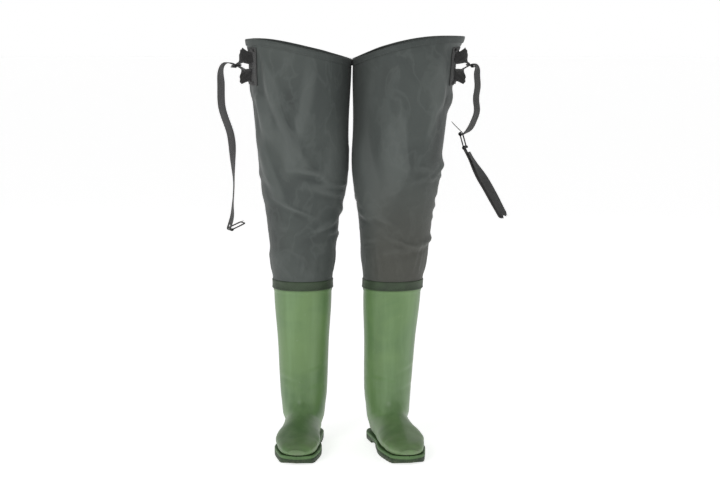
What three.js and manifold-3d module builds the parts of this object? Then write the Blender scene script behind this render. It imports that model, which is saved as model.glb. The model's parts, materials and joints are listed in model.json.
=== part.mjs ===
// A pair of hip waders. Each wader is a moulded boot with a coated-fabric leg welded to its
// rim, a hem round the top, and a webbing strap with a prong buckle that hangs from the hip.
// Millimetres, +Z up. The toes point to -Y. "right" and "left" are the wearer's own sides,
// so the right wader stands at -X. The origin is the bottom centre of the pair.

import * as THREE from 'three';
import { mergeVertices } from 'three/addons/utils/BufferGeometryUtils.js';
import Module from 'manifold-3d';

const wasm = await Module();
wasm.setup();

// ---------------------------------------------------------------- driving sizes

const outerTop = 898; // height of the top edge at the hip
const innerTop = 847; // height of the top edge at the crotch
const legGap = 3; // space between the two legs at the top
const topWidth = 222; // leg, side to side
const topDepth = 234; // leg, front to back
const midThighHeight = 670;
const midThighWidth = 197;
const midThighDepth = 206;
const kneeHeight = 500; // axis of the knee bend
const kneeWidth = 161;
const kneeDepth = 167;
const kneeLength = 164; // stretch of the leg that folds when the knee bends
const calfHeight = 412;
const calfWidth = 142;
const calfDepth = 148;
const fabricWall = 2;

const bootHeight = 364;
const rimWidth = 127;
const rimDepth = 133;
const shinWidth = 113; // boot shaft at its middle
const shinDepth = 121;
const ankleWidth = 103;
const ankleFront = 128; // height at which the shaft's front turns into the instep
const instepHeight = 86;
const toeHeight = 47;
const footLength = 291; // boot upper, heel to toe
const heelBack = 61; // heel's back behind the shaft's middle
const heelWidth = 78;
const waistWidth = 80;
const ballWidth = 96;
const toeWidth = 72;
const toeInward = 9; // how far the toe bends towards the big toe
const bootWall = 3;
const liningWall = 1.2;
const insoleThickness = 4;

const soleThickness = 12; // floor to the underside of the upper
const soleHeight = 18; // floor to the top of the sole's rim
const soleMargin = 3; // sole's rim outside the upper
const treadDepth = 4;
const treadGroove = 5;
const treadPitch = 15;
const heelPitch = 21;
const archHeight = 7;
// Stretches of the sole as shares of the foot from the heel: [from, to].
const heelTread = [0.06, 0.24];
const arch = [0.28, 0.44];
const foreTread = [0.5, 0.95];

const jointOverlap = 16; // fabric over the boot's rim
const bandHeight = 20;
const bandWall = 1.6;
const hemHeight = 14;
const hemWall = 1.6;
const seamWidth = 18;
const seamWall = 1;
const seamRoom = 2; // between the seam tape and the hem
const patchWidth = 46;
const patchHeight = 82;
const patchWall = 1.6;
const patchRoom = 0.7; // between the patch and the faceted leg

const hipHeight = 832; // middle of the hip patch
const webWidth = 25;
const webThickness = 2;
const wire = 3; // thickness of the ring's and the buckle's bars
const ringLength = 13; // between the ring's two bars
const buckleLength = 31; // between the buckle's two bars
const prongWidth = 5;
const prongEye = 1.8; // thickness of the eye round the bar
const prongThickness = 2.2;

const gap = 0.3; // between pieces that touch
const mouldRoom = 1.6; // round the faceted boot: inside it to the lining, outside it to the sole
const barRoom = 2.5; // inside radius of whatever wraps a bar
const sideRoom = 1.5; // between webbing and a frame's side arms

// Stance of each wader: its side of X, where its shaft stands, how far it toes out, how
// quickly its top edge climbs from crotch to hip, its strap's route from the ring's outer
// bar in [outward, up], and the directions of its buckle and prong.
const stances = {
  right: {
    side: -1,
    ankleX: -108,
    toeOut: 4.5,
    climb: 1.15,
    strapRoute: [[10, 6.5], [21, 5], [28, -6], [30, -30], [28, -84], [10, -150], [2, -207],
      [2, -270], [5, -318], [14, -350]],
    buckleAngle: 157,
    prongOpen: 0,
  },
  left: {
    side: 1,
    ankleX: 78,
    toeOut: 13,
    climb: 2,
    strapRoute: [[5.5, 1.8], [8.5, -5], [9, -22], [9, -60], [8, -97], [1, -124], [-10, -139],
      [-23, -150]],
    buckleAngle: 286,
    prongOpen: 151,
    tailLength: 168,
    tailAngle: 300,
    tailOpening: 3,
  },
};

const across = 20; // points round every section of leg and boot
const hipTurn = 28; // hip patch, degrees forward of the outermost line
const ringAngle = -8;

// ---------------------------------------------------------------- materials

const looks = {
  bootGreen: [0x5f7c4d, 0.42, 0],
  soleGreen: [0x2f4a26, 0.6, 0],
  insoleGrey: [0x6b6b66, 0.95, 0],
  liningGrey: [0x8a8a80, 0.95, 0],
  legGrey: [0x4d5250, 0.7, 0],
  hemGrey: [0x585a59, 0.7, 0],
  bandGreen: [0x323f29, 0.5, 0],
  webBlack: [0x252525, 0.85, 0],
  wireBlack: [0x2c2c2c, 0.4, 0.8],
};

function material(look) {
  const [color, roughness, metalness] = looks[look];
  return new THREE.MeshStandardMaterial({ color, roughness, metalness });
}

function piece(name, geometry, look) {
  const mesh = new THREE.Mesh(geometry, material(look));
  mesh.name = name;
  return mesh;
}

// ---------------------------------------------------------------- shared geometry

const rad = THREE.MathUtils.degToRad;

// A smooth value at one height or distance, from rows of [place, value, value...]. It never
// swings past a row's value: where the rows turn or stay level, the slope is level too.
function smooth(rows, place, column) {
  const rise = (i) => (rows[i + 1][column] - rows[i][column]) / (rows[i + 1][0] - rows[i][0]);
  const slope = (i) => {
    if (i === 0) return rise(0);
    if (i === rows.length - 1) return rise(i - 1);
    const [before, after] = [rise(i - 1), rise(i)];
    return before * after > 0 ? (2 * before * after) / (before + after) : 0;
  };
  let i = 0;
  while (i < rows.length - 2 && place > rows[i + 1][0]) i += 1;
  const span = rows[i + 1][0] - rows[i][0];
  const t = THREE.MathUtils.clamp((place - rows[i][0]) / span, 0, 1);
  const start = rows[i][column];
  const end = rows[i + 1][column];
  const bend = t * (1 - t);
  const straight = start + (end - start) * t * t * (3 - 2 * t);
  return straight + span * bend * ((1 - t) * slope(i) - t * slope(i + 1));
}

// Triangles across a ring of points, as rungs between its two halves: a thin curved ring's
// rungs stay inside it.
function ladder(count) {
  const triangles = [];
  for (let i = 0, j = count - 1; i + 1 < j; i += 1, j -= 1) {
    triangles.push([i, i + 1, j]);
    if (i + 1 < j - 1) triangles.push([i + 1, j - 1, j]);
  }
  return triangles;
}

// A closed solid from rows of points: neighbouring rings are joined. The first and last rings
// are capped, or joined to each other where the solid is a tube.
function loft(rings, tube = false) {
  const count = rings[0].length;
  const positions = rings.flat().flatMap((p) => [p.x, p.y, p.z]);
  const index = [];
  const joins = tube ? rings.length : rings.length - 1;
  for (let r = 0; r < joins; r += 1) {
    const here = r * count;
    const there = ((r + 1) % rings.length) * count;
    for (let i = 0; i < count; i += 1) {
      const j = (i + 1) % count;
      index.push(here + i, here + j, there + j);
      index.push(here + i, there + j, there + i);
    }
  }
  if (!tube) {
    const last = (rings.length - 1) * count;
    for (const [a, b, c] of ladder(count)) {
      index.push(a, c, b);
      index.push(last + a, last + b, last + c);
    }
  }
  const geometry = new THREE.BufferGeometry();
  geometry.setAttribute('position', new THREE.Float32BufferAttribute(positions, 3));
  geometry.setIndex(index);
  return facingOut(geometry);
}

// The same geometry with its faces turned out, found from the sign of its volume.
function facingOut(geometry) {
  const p = geometry.attributes.position;
  const index = geometry.index.array;
  const [a, b, c] = [new THREE.Vector3(), new THREE.Vector3(), new THREE.Vector3()];
  let volume = 0;
  for (let i = 0; i < index.length; i += 3) {
    a.fromBufferAttribute(p, index[i]);
    b.fromBufferAttribute(p, index[i + 1]);
    c.fromBufferAttribute(p, index[i + 2]);
    volume += a.dot(b.cross(c));
  }
  if (volume < 0) {
    for (let i = 0; i < index.length; i += 3) {
      [index[i + 1], index[i + 2]] = [index[i + 2], index[i + 1]];
    }
  }
  return geometry;
}

function toSolid(geometry) {
  const bare = geometry.clone();
  bare.deleteAttribute('normal');
  bare.deleteAttribute('uv');
  const merged = mergeVertices(bare, 1e-4);
  return new wasm.Manifold(new wasm.Mesh({
    numProp: 3,
    vertProperties: Float32Array.from(merged.attributes.position.array),
    triVerts: Uint32Array.from(merged.index.array),
  }));
}

function fromSolid(solid) {
  const mesh = solid.getMesh();
  const geometry = new THREE.BufferGeometry();
  geometry.setAttribute('position', new THREE.BufferAttribute(mesh.vertProperties, 3));
  geometry.setIndex(new THREE.BufferAttribute(mesh.triVerts, 1));
  return geometry;
}

function block(sizeX, sizeY, sizeZ, x, y, z) {
  return new THREE.BoxGeometry(sizeX, sizeY, sizeZ).translate(x, y, z);
}

// A point of a wader's own section, turned by its toe-out and moved to its leg's line. The
// line leans from the ankle to the top, where the two legs stand a small gap apart.
function place(stance, x, y, z) {
  const turn = rad(stance.side * stance.toeOut);
  const topX = stance.side * (topWidth + legGap) / 2;
  const lean = (z - ankleFront) / (innerTop - ankleFront);
  const middle = stance.ankleX + (topX - stance.ankleX) * Math.max(lean, 0);
  return new THREE.Vector3(
    middle + x * Math.cos(turn) - y * Math.sin(turn),
    x * Math.sin(turn) + y * Math.cos(turn),
    z,
  );
}

// ---------------------------------------------------------------- leg surface

// The fabric's outside at the boot's rim clears the rim by the gap.
const legRimWidth = rimWidth + 2 * (fabricWall + gap);
const legRimDepth = rimDepth + 2 * (fabricWall + gap);

// The band is centred on the overlap of fabric and boot, and the leg is straight under it.
const legFoot = bootHeight - jointOverlap;
const bandLow = legFoot - (bandHeight - jointOverlap) / 2;
const bandHigh = bandLow + bandHeight;

// Outside of the leg by height: [height, width, depth].
const legRows = [
  [legFoot, legRimWidth, legRimDepth],
  [bandHigh, legRimWidth, legRimDepth],
  [calfHeight, calfWidth, calfDepth],
  [kneeHeight, kneeWidth, kneeDepth],
  [midThighHeight, midThighWidth, midThighDepth],
  [innerTop, topWidth, topDepth],
  [outerTop, topWidth, topDepth],
];

// Angle 0 is the front and 90 is +X, in the wader's own turned section.
function legPoint(stance, angle, z, grow) {
  const halfWidth = smooth(legRows, z, 1) / 2 + grow;
  const halfDepth = smooth(legRows, z, 2) / 2 + grow;
  return place(stance, halfWidth * Math.sin(angle), -halfDepth * Math.cos(angle), z);
}

// Height of the top edge: it climbs from the crotch to the hip.
function topEdge(stance, angle) {
  const turned = angle + rad(stance.side * stance.toeOut);
  const outward = (1 + stance.side * Math.sin(turned)) / 2;
  return innerTop + (outerTop - innerTop) * (1 - (1 - outward) ** stance.climb);
}

const level = (z) => () => z;

const turns = Array.from({ length: across }, (unused, i) => (2 * Math.PI * i) / across);

// A layer all the way round the leg, between two growths of its surface. low and high give
// its edges' heights at each angle.
function sleeve(stance, low, high, inside, outside, rows) {
  const ring = (share, grow) => turns.map((angle) => {
    const z = THREE.MathUtils.lerp(low(angle), high(angle), share);
    return legPoint(stance, angle, z, grow);
  });
  const shares = Array.from({ length: rows + 1 }, (unused, i) => i / rows);
  const up = shares.map((share) => ring(share, outside));
  const down = shares.map((share) => ring(share, inside)).reverse();
  return loft([...up, ...down], true);
}

// A plate on the leg's surface, centred on one angle. Its faces follow the leg.
function plate(stance, centre, width, low, high, inside, outside, rows) {
  const radius = (smooth(legRows, (low + high) / 2, 1) + smooth(legRows, (low + high) / 2, 2)) / 4;
  const half = width / radius / 2;
  const columns = 4;
  const rings = [];
  for (let r = 0; r <= rows; r += 1) {
    const z = THREE.MathUtils.lerp(low, high, r / rows);
    const out = [];
    const back = [];
    for (let c = 0; c <= columns; c += 1) {
      const angle = centre + half * ((2 * c) / columns - 1);
      out.push(legPoint(stance, angle, z, outside));
      back.unshift(legPoint(stance, angle, z, inside));
    }
    rings.push([...out, ...back]);
  }
  return loft(rings);
}

// ---------------------------------------------------------------- boot surface

// Plan of the foot by distance from the heel, as shares of its length:
// [share, half width, shift towards the big toe].
const footPlan = [
  [0, heelWidth * 0.3, 0],
  [0.14, heelWidth / 2, 0],
  [0.4, waistWidth / 2, 0],
  [0.66, ballWidth / 2, toeInward * 0.2],
  [0.87, toeWidth / 2, toeInward * 0.75],
  [0.96, toeWidth * 0.37, toeInward * 0.95],
  [1, toeWidth * 0.23, toeInward],
];

const shaftMiddle = bootHeight * 0.62;
const belowJoint = bandLow - 6; // the shaft is straight above this
const floorOfUpper = soleThickness + mouldRoom;

// One section of the boot runs from a front point to a back point, each [y, z].
function shaftStation(z, width, depth) {
  return { front: [-depth / 2, z], back: [depth / 2, z], half: width / 2, square: 2, shift: 0, nose: 0 };
}

const footY = (share) => heelBack - share * footLength;

// A foot section by shares of the length at its instep and its underside. climb is 1 at the
// instep and 0 at the toe.
function footStation(frontShare, climb, backShare, backZ, square, nose = 0) {
  return {
    front: [footY(frontShare), toeHeight + (instepHeight - toeHeight) * climb],
    back: [footY(backShare), backZ],
    half: smooth(footPlan, Math.max((frontShare + backShare) / 2, backShare), 1),
    square,
    shift: smooth(footPlan, backShare, 2),
    nose,
  };
}

const heelAbove = soleHeight + 19;

const bootStations = [
  shaftStation(bootHeight, rimWidth, rimDepth),
  shaftStation(belowJoint, rimWidth, rimDepth),
  shaftStation(shaftMiddle, shinWidth, shinDepth),
  {
    ...shaftStation(ankleFront, ankleWidth, shinDepth),
    back: [heelBack - 4, ankleFront - 30],
  },
  { ...footStation(0.43, 1.45, 0, 78, 2), back: [heelBack - 4, 78], half: ankleWidth * 0.475 },
  { ...footStation(0.468, 1.02, 0, heelAbove, 2), half: ankleWidth * 0.44 },
  footStation(0.5, 0.85, 0.022, soleThickness + 5, 2.4),
  footStation(0.54, 0.7, 0.135, floorOfUpper, 3),
  footStation(0.588, 0.56, 0.31, floorOfUpper, 3.4),
  footStation(0.65, 0.41, 0.485, floorOfUpper, 3.6),
  footStation(0.725, 0.25, 0.656, floorOfUpper, 3.6),
  footStation(0.814, 0.12, 0.8, floorOfUpper, 3.6),
  footStation(0.897, 0, 0.897, floorOfUpper + 0.5, 3.2),
  footStation(0.96, -0.16, 0.96, floorOfUpper + 3, 2.6, 0.5),
  footStation(1, -0.38, 1, floorOfUpper + 7, 2.2, 1),
];

// The upper half of a foot section stays rounder than its underside.
const fullestTop = 1.8;

function bootRing(stance, station, grow) {
  const [frontY, frontZ] = station.front;
  const [backY, backZ] = station.back;
  const length = Math.hypot(backY - frontY, backZ - frontZ);
  const halfLength = length / 2 + grow;
  const half = station.half + grow;
  const middleY = (frontY + backY) / 2 - station.nose * grow;
  const middleZ = (frontZ + backZ) / 2;
  return turns.map((angle) => {
    const c = Math.cos(angle);
    const s = Math.sin(angle);
    const power = 2 / (c < 0 ? station.square : Math.min(station.square, fullestTop));
    const along = -Math.sign(c) * halfLength * Math.abs(c) ** power;
    const x = Math.sign(s) * half * Math.abs(s) ** power - stance.side * station.shift;
    const y = middleY + (along * (backY - frontY)) / length;
    const z = middleZ + (along * (backZ - frontZ)) / length;
    return place(stance, x, y, z);
  });
}

// A boot-shaped cup between two growths of the boot's surface, open at the rim.
function bootCup(stance, outside, inside) {
  const outer = bootStations.map((station) => bootRing(stance, station, outside));
  const inner = bootStations.map((station) => bootRing(stance, station, inside));
  return loft([...outer.reverse(), ...inner]);
}

function bootSolid(stance, grow) {
  return toSolid(loft(bootStations.map((station) => bootRing(stance, station, grow))));
}

const liningOutside = -(bootWall + mouldRoom);
const liningInside = liningOutside - liningWall;

function insole(stance) {
  const floor = floorOfUpper - liningInside + gap;
  const middle = footY(0.5);
  const slab = block(3 * ballWidth, 2 * footLength, insoleThickness, stance.ankleX, middle,
    floor + insoleThickness / 2);
  return fromSolid(bootSolid(stance, liningInside - gap).intersect(toSolid(slab)));
}

// The sole is the foot's plan, grown by the margin, with the upper's seat, the arch and the
// tread's grooves cut out of it.
function outsole(stance) {
  const rim = (edge) => {
    const points = [];
    const steps = 16;
    for (let i = 0; i <= steps; i += 1) {
      const share = (1 - Math.cos((Math.PI * i) / steps)) / 2;
      const round = Math.min(1, Math.sin((Math.PI * i) / steps) * 2.2);
      const half = smooth(footPlan, share, 1) * round + soleMargin * round;
      const x = edge * half - stance.side * smooth(footPlan, share, 2);
      const y = footY(share) + soleMargin * Math.cos((Math.PI * i) / steps);
      points.push(place(stance, x, y, 0));
    }
    return points;
  };
  const outline = [...rim(1), ...rim(-1).slice(1, -1).reverse()];
  const shape = new THREE.Shape(outline.map((p) => new THREE.Vector2(p.x, p.y)));
  const slab = new THREE.ExtrudeGeometry(shape, { depth: soleHeight, bevelEnabled: false });
  let sole = toSolid(slab).subtract(bootSolid(stance, mouldRoom));
  const cut = (fromShare, toShare, depth) => {
    const width = 3 * ballWidth;
    const length = (toShare - fromShare) * footLength;
    const groove = block(width, length, 2 * depth, 0, footY((fromShare + toShare) / 2), 0);
    groove.rotateZ(rad(stance.side * stance.toeOut));
    groove.translate(stance.ankleX, 0, 0);
    sole = sole.subtract(toSolid(groove));
  };
  cut(...arch, archHeight);
  const grooveShare = treadGroove / footLength;
  const grooves = ([from, to], pitch) => {
    for (let share = from; share < to; share += pitch / footLength) {
      cut(share, share + grooveShare, treadDepth);
    }
  };
  grooves(foreTread, treadPitch);
  grooves(heelTread, heelPitch);
  return fromSolid(sole);
}

// ---------------------------------------------------------------- webbing and wire

// Points on an arc, in degrees, anticlockwise when the second angle is larger.
function arc(x, y, radius, from, to, steps) {
  return Array.from({ length: steps + 1 }, (unused, i) => {
    const angle = rad(from + ((to - from) * i) / steps);
    return new THREE.Vector2(x + radius * Math.cos(angle), y + radius * Math.sin(angle));
  });
}

// Webbing seen edge-on: a line of points given thickness, then drawn out to its width. The
// points are [outward, up] and the width is centred on zero.
function ribbon(points, width, thickness = webThickness) {
  const normals = points.map((p, i) => {
    const before = points[Math.max(i - 1, 0)];
    const after = points[Math.min(i + 1, points.length - 1)];
    const inward = p.clone().sub(before).normalize();
    const onward = after.clone().sub(p).normalize();
    const along = inward.add(onward).normalize();
    return new THREE.Vector2(-along.y, along.x).multiplyScalar(thickness / 2);
  });
  const upper = points.map((p, i) => p.clone().add(normals[i]));
  const lower = points.map((p, i) => p.clone().sub(normals[i])).reverse();
  return drawOut(new THREE.Shape([...upper, ...lower]), width);
}

// A flat shape in [outward, up], drawn out sideways.
function drawOut(shape, width) {
  const geometry = new THREE.ExtrudeGeometry(shape, { depth: width, bevelEnabled: false, curveSegments: 6 });
  return geometry.translate(0, 0, -width / 2).rotateX(Math.PI / 2);
}

const wrapRadius = barRoom + webThickness / 2;
const slotWidth = prongWidth + 3;
const slotReach = barRoom + webThickness + 3.5;

// The webbing's middle is cut away round a bar, to leave room for the prong.
function slotted(geometry, x, y) {
  const slot = block(2 * slotReach, slotWidth, 2 * slotReach, x, 0, y);
  return fromSolid(toSolid(geometry).subtract(toSolid(slot)));
}

// The triangular tab: it lies on the patch, runs out, turns round the ring's inner bar and
// runs back to the patch.
const tabBar = new THREE.Vector2(30, 4);
const tabHalf = patchHeight / 2 - 3;
const tabFlat = 10;

function tabGeometry(stance) {
  const hip = hipGroup(stance);
  const outward = new THREE.Vector3(1, 0, 0).applyEuler(hip.rotation);
  const seat = patchRoom + patchWall + 2 * gap + webThickness / 2;
  const onPatch = (up) => {
    const surface = legPoint(stance, hipAngle(stance), hipHeight + up, 0);
    return new THREE.Vector2(surface.sub(hip.position).dot(outward) + seat, up);
  };
  const points = [
    onPatch(tabHalf),
    onPatch(tabHalf - tabFlat),
    ...arc(tabBar.x, tabBar.y, wrapRadius, 50, -62, 5),
    onPatch(tabFlat - tabHalf),
    onPatch(-tabHalf),
  ];
  return ribbon(points, webWidth);
}

// A flat frame with one window, its first bar's axis at the origin and its second bar at the
// given length along +X.
function frameGeometry(length) {
  const halfOuter = webWidth / 2 + sideRoom + wire;
  const halfInner = webWidth / 2 + sideRoom;
  const w = wire / 2;
  const corner = wire * 0.8;
  const outline = (x0, x1, half, cut) => [
    [x0 + cut, -half], [x1 - cut, -half], [x1, -half + cut], [x1, half - cut],
    [x1 - cut, half], [x0 + cut, half], [x0, half - cut], [x0, -half + cut],
  ].map(([x, y]) => new THREE.Vector2(x, y));
  const shape = new THREE.Shape(outline(-w, length + w, halfOuter, corner));
  shape.holes.push(new THREE.Path(outline(w, length - w, halfInner, corner / 3)));
  const geometry = new THREE.ExtrudeGeometry(shape, { depth: wire, bevelEnabled: false });
  return geometry.translate(0, 0, -wire / 2);
}

// Eye round the bar and a tongue that lies on the frame's far bar, on the frame's under side.
function prongGeometry() {
  const eye = barRoom + prongEye;
  const tongueTop = -(wire / 2 + gap);
  const tip = buckleLength + wire;
  const shape = new THREE.Shape([
    ...arc(0, 0, eye, 20, 235, 9),
    new THREE.Vector2(tip - 4, tongueTop - prongThickness),
    new THREE.Vector2(tip, tongueTop - prongThickness / 2),
    new THREE.Vector2(tip - 1, tongueTop),
    new THREE.Vector2(eye + 3, tongueTop),
  ]);
  shape.holes.push(new THREE.Path(arc(0, 0, barRoom, 0, 360 - 36, 9)));
  return drawOut(shape, prongWidth);
}

// The strap: round the ring's outer bar, along its route and round the buckle's first bar. It
// gives its geometry and where that bar is.
function strap(stance) {
  const route = stance.strapRoute.map(([x, y]) => new THREE.Vector2(x, y));
  const curve = new THREE.SplineCurve([new THREE.Vector2(0, wrapRadius), ...route]);
  const run = curve.getPoints(stance.strapRoute.length * 3).slice(1);
  const end = run[run.length - 1];
  const heading = curve.getTangent(1);
  // The bar lies on the clockwise side of the webbing as it arrives.
  const bar = new THREE.Vector2(heading.y, -heading.x).multiplyScalar(wrapRadius).add(end);
  const arrive = THREE.MathUtils.radToDeg(Math.atan2(end.y - bar.y, end.x - bar.x));
  const points = [
    ...arc(0, 0, wrapRadius, 325, 90, 9),
    ...run,
    ...arc(bar.x, bar.y, wrapRadius, arrive, arrive - 215, 9).slice(1),
  ];
  return { geometry: slotted(ribbon(points, webWidth), bar.x, bar.y), bar };
}

// The tail hangs from the buckle's far bar: a flat loop of doubled webbing.
function tailGeometry(stance) {
  const length = stance.tailLength;
  const half = (stance.tailOpening + webThickness) / 2;
  const mouth = barRoom + webThickness + 6;
  const points = [
    ...arc(0, 0, wrapRadius, 40, 320, 10),
    new THREE.Vector2(mouth, -half),
    new THREE.Vector2(length - half, -half),
    ...arc(length - half, 0, half, -60, 60, 4),
    new THREE.Vector2(length - half, half),
    new THREE.Vector2(mouth + 2, half),
  ];
  return slotted(ribbon(points, webWidth), 0, 0);
}

// ---------------------------------------------------------------- one wader

function hipAngle(stance) {
  return rad(stance.side * (90 - hipTurn));
}

// The hip's own group: origin on the leg's surface, +X straight out of it, +Z up.
function hipGroup(stance) {
  const angle = hipAngle(stance);
  const group = new THREE.Group();
  group.position.copy(legPoint(stance, angle, hipHeight, 0));
  const near = legPoint(stance, angle - 0.01, hipHeight, 0);
  const far = legPoint(stance, angle + 0.01, hipHeight, 0);
  const along = far.sub(near);
  group.rotation.z = Math.atan2(-along.x, along.y);
  return group;
}

// A group hung in another at a point of its [outward, up] plane, turned in that plane.
function hang(parent, at, degrees) {
  const group = new THREE.Group();
  group.position.set(at.x, 0, at.y);
  group.rotation.y = -rad(degrees);
  parent.add(group);
  return group;
}

function hardware(name, stance) {
  const hip = hipGroup(stance);
  hip.add(piece(`${name}_hip_tab`, tabGeometry(stance), 'webBlack'));

  const ring = hang(hip, tabBar, ringAngle);
  ring.add(piece(`${name}_hip_ring`, frameGeometry(ringLength), 'wireBlack'));

  const outerBar = new THREE.Vector2(ringLength, 0).rotateAround(new THREE.Vector2(), rad(ringAngle));
  const strapPivot = hang(hip, tabBar.clone().add(outerBar), 0);
  const { geometry, bar } = strap(stance);
  strapPivot.add(piece(`${name}_hip_strap`, geometry, 'webBlack'));

  const buckle = hang(strapPivot, bar, stance.buckleAngle);
  buckle.add(piece(`${name}_buckle_frame`, frameGeometry(buckleLength), 'wireBlack'));
  const prong = hang(strapPivot, bar, stance.buckleAngle - stance.prongOpen);
  prong.add(piece(`${name}_buckle_prong`, prongGeometry(), 'wireBlack'));

  if (stance.tailLength) {
    const farBar = new THREE.Vector2(buckleLength, 0);
    const tail = hang(buckle, farBar, stance.tailAngle - stance.buckleAngle);
    tail.add(piece(`${name}_belt_loop`, tailGeometry(stance), 'webBlack'));
  }
  return hip;
}

function wader(name, stance) {
  const group = new THREE.Group();
  const add = (part, geometry, look) => group.add(piece(`${name}_${part}`, geometry, look));

  add('boot_upper', bootCup(stance, 0, -bootWall), 'bootGreen');
  add('boot_lining', bootCup(stance, liningOutside, liningInside), 'liningGrey');
  add('insole', insole(stance), 'insoleGrey');
  add('outsole', outsole(stance), 'soleGreen');

  const kneeLow = kneeHeight - kneeLength / 2;
  const kneeHigh = kneeHeight + kneeLength / 2;
  const top = (angle) => topEdge(stance, angle);
  add('shin_fabric', sleeve(stance, level(legFoot), level(kneeLow - gap), -fabricWall, 0, 6), 'legGrey');
  add('knee_fabric', sleeve(stance, level(kneeLow), level(kneeHigh), -fabricWall, 0, 4), 'legGrey');
  add('thigh_fabric', sleeve(stance, level(kneeHigh + gap), top, -fabricWall, 0, 6), 'legGrey');

  add('joint_band', sleeve(stance, level(bandLow), level(bandHigh), gap, gap + bandWall, 2), 'bandGreen');
  const hemLow = (angle) => top(angle) - hemHeight;
  add('top_hem', sleeve(stance, hemLow, top, gap, gap + hemWall, 1), 'hemGrey');

  const rear = Math.PI;
  const seamLow = bandHigh + gap;
  const seamEdges = [-1, 1].map((edge) => hemLow(rear + (edge * seamWidth) / topWidth));
  const seamHigh = Math.min(...seamEdges) - seamRoom;
  add('shin_seam_tape', plate(stance, rear, seamWidth, seamLow, kneeLow - gap, gap, gap + seamWall, 3),
    'legGrey');
  add('thigh_seam_tape', plate(stance, rear, seamWidth, kneeHigh + gap, seamHigh, gap, gap + seamWall, 8),
    'legGrey');

  const patchLow = hipHeight - patchHeight / 2;
  add('hip_patch', plate(stance, hipAngle(stance), patchWidth, patchLow, patchLow + patchHeight, patchRoom,
    patchRoom + patchWall, 3), 'webBlack');
  group.add(hardware(name, stance));
  return group;
}

const waders = new THREE.Group();
for (const [name, stance] of Object.entries(stances)) {
  waders.add(wader(name, stance));
}

// The pair's bottom centre goes to the origin.
const bounds = new THREE.Box3().setFromObject(waders, true);
const centre = bounds.getCenter(new THREE.Vector3());
waders.position.set(-centre.x, -centre.y, -bounds.min.z);

const pair = new THREE.Group();
pair.add(waders);
export default pair;
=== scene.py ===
# %% [markdown]
# # A pair of hip waders
# A hip wader is a moulded PVC boot with a tube of coated fabric welded over its rim. A hem
# finishes the slanted top edge, and a webbing strap with a prong buckle hangs from a tab at
# the hip and goes to the wearer's belt. This lesson builds the fine surfaces of the pair
# round the frame that holds its sizes and joints. Everything is in metres: X is the wearer's
# left, -Y is where the toes point, and Z is up.
#
# Nearly every piece is one idea used again: a surface is a function of two numbers, worked
# out on a grid as whole numpy arrays, and then handed to Blender as a mesh.

import json

import bpy
import numpy as np
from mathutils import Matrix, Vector


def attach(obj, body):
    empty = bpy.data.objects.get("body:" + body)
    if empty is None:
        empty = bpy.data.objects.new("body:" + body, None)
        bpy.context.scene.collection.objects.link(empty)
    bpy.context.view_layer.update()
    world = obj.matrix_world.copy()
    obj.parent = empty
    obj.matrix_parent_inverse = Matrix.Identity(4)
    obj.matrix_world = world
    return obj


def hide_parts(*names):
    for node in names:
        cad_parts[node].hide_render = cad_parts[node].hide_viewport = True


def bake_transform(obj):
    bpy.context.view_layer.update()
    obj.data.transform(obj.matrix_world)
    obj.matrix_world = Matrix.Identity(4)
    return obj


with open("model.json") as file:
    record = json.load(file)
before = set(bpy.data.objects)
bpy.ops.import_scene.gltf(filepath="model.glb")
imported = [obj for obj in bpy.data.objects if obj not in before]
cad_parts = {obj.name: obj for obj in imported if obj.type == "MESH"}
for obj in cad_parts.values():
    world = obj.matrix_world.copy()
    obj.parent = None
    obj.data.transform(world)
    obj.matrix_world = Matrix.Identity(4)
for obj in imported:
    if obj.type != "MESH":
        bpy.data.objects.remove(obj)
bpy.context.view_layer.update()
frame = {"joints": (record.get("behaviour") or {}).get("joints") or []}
scene = bpy.context.scene
joints = {joint["name"]: joint for joint in frame["joints"]}

# %% [markdown]
# ## Camera and light
# The camera stands four metres in front, a little below the hem and turned slightly down,
# so that the open tops stay hidden and the toes show. A long lens keeps the legs straight.
# The light is a white room whose walls are bright and whose ceiling is dim, with a wide key
# from the left and two weaker panels. Bright walls draw a soft pale line down each edge, and
# the dim ceiling keeps the dark cloth dark. Soft, large lights suit satin cloth and glossy
# boots, because a small lamp would burn a hard spot into the PVC.

# %% Camera and lights
STAND_Y = joints["right_knee_bend"]["pos_m"][1]
CAMERA_AT = Vector((-0.005, -4.0, 0.94))
CAMERA_TO = Vector((-0.005, STAND_Y, 0.428))
LENS_MM = 92.7
LIGHTS_AT = (0, STAND_Y, 0.45)
PANELS = {  # name: place, side of the square in metres, watts
    "key_light": ((-2.0, -3.2, 2.6), 1.4, 38),
    "fill_light": ((2.8, -2.6, 1.6), 2.6, 5),
    "rim_light": ((0.6, 3.2, 2.6), 2.0, 9),
}


def aimed(name, data, location, target):
    """An object that looks from its location at a target."""
    thing = bpy.data.objects.new(name, data)
    scene.collection.objects.link(thing)
    thing.location = location
    thing.rotation_euler = (Vector(target) - Vector(location)).to_track_quat("-Z", "Y").to_euler()
    return thing


lens = bpy.data.cameras.new("camera")
lens.lens = LENS_MM
lens.sensor_width = 36
scene.camera = aimed("camera", lens, CAMERA_AT, CAMERA_TO)

for name, (location, size, watts) in PANELS.items():
    light = bpy.data.lights.new(name, "AREA")
    light.size = size
    light.energy = watts
    aimed(name, light, location, LIGHTS_AT)

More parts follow.
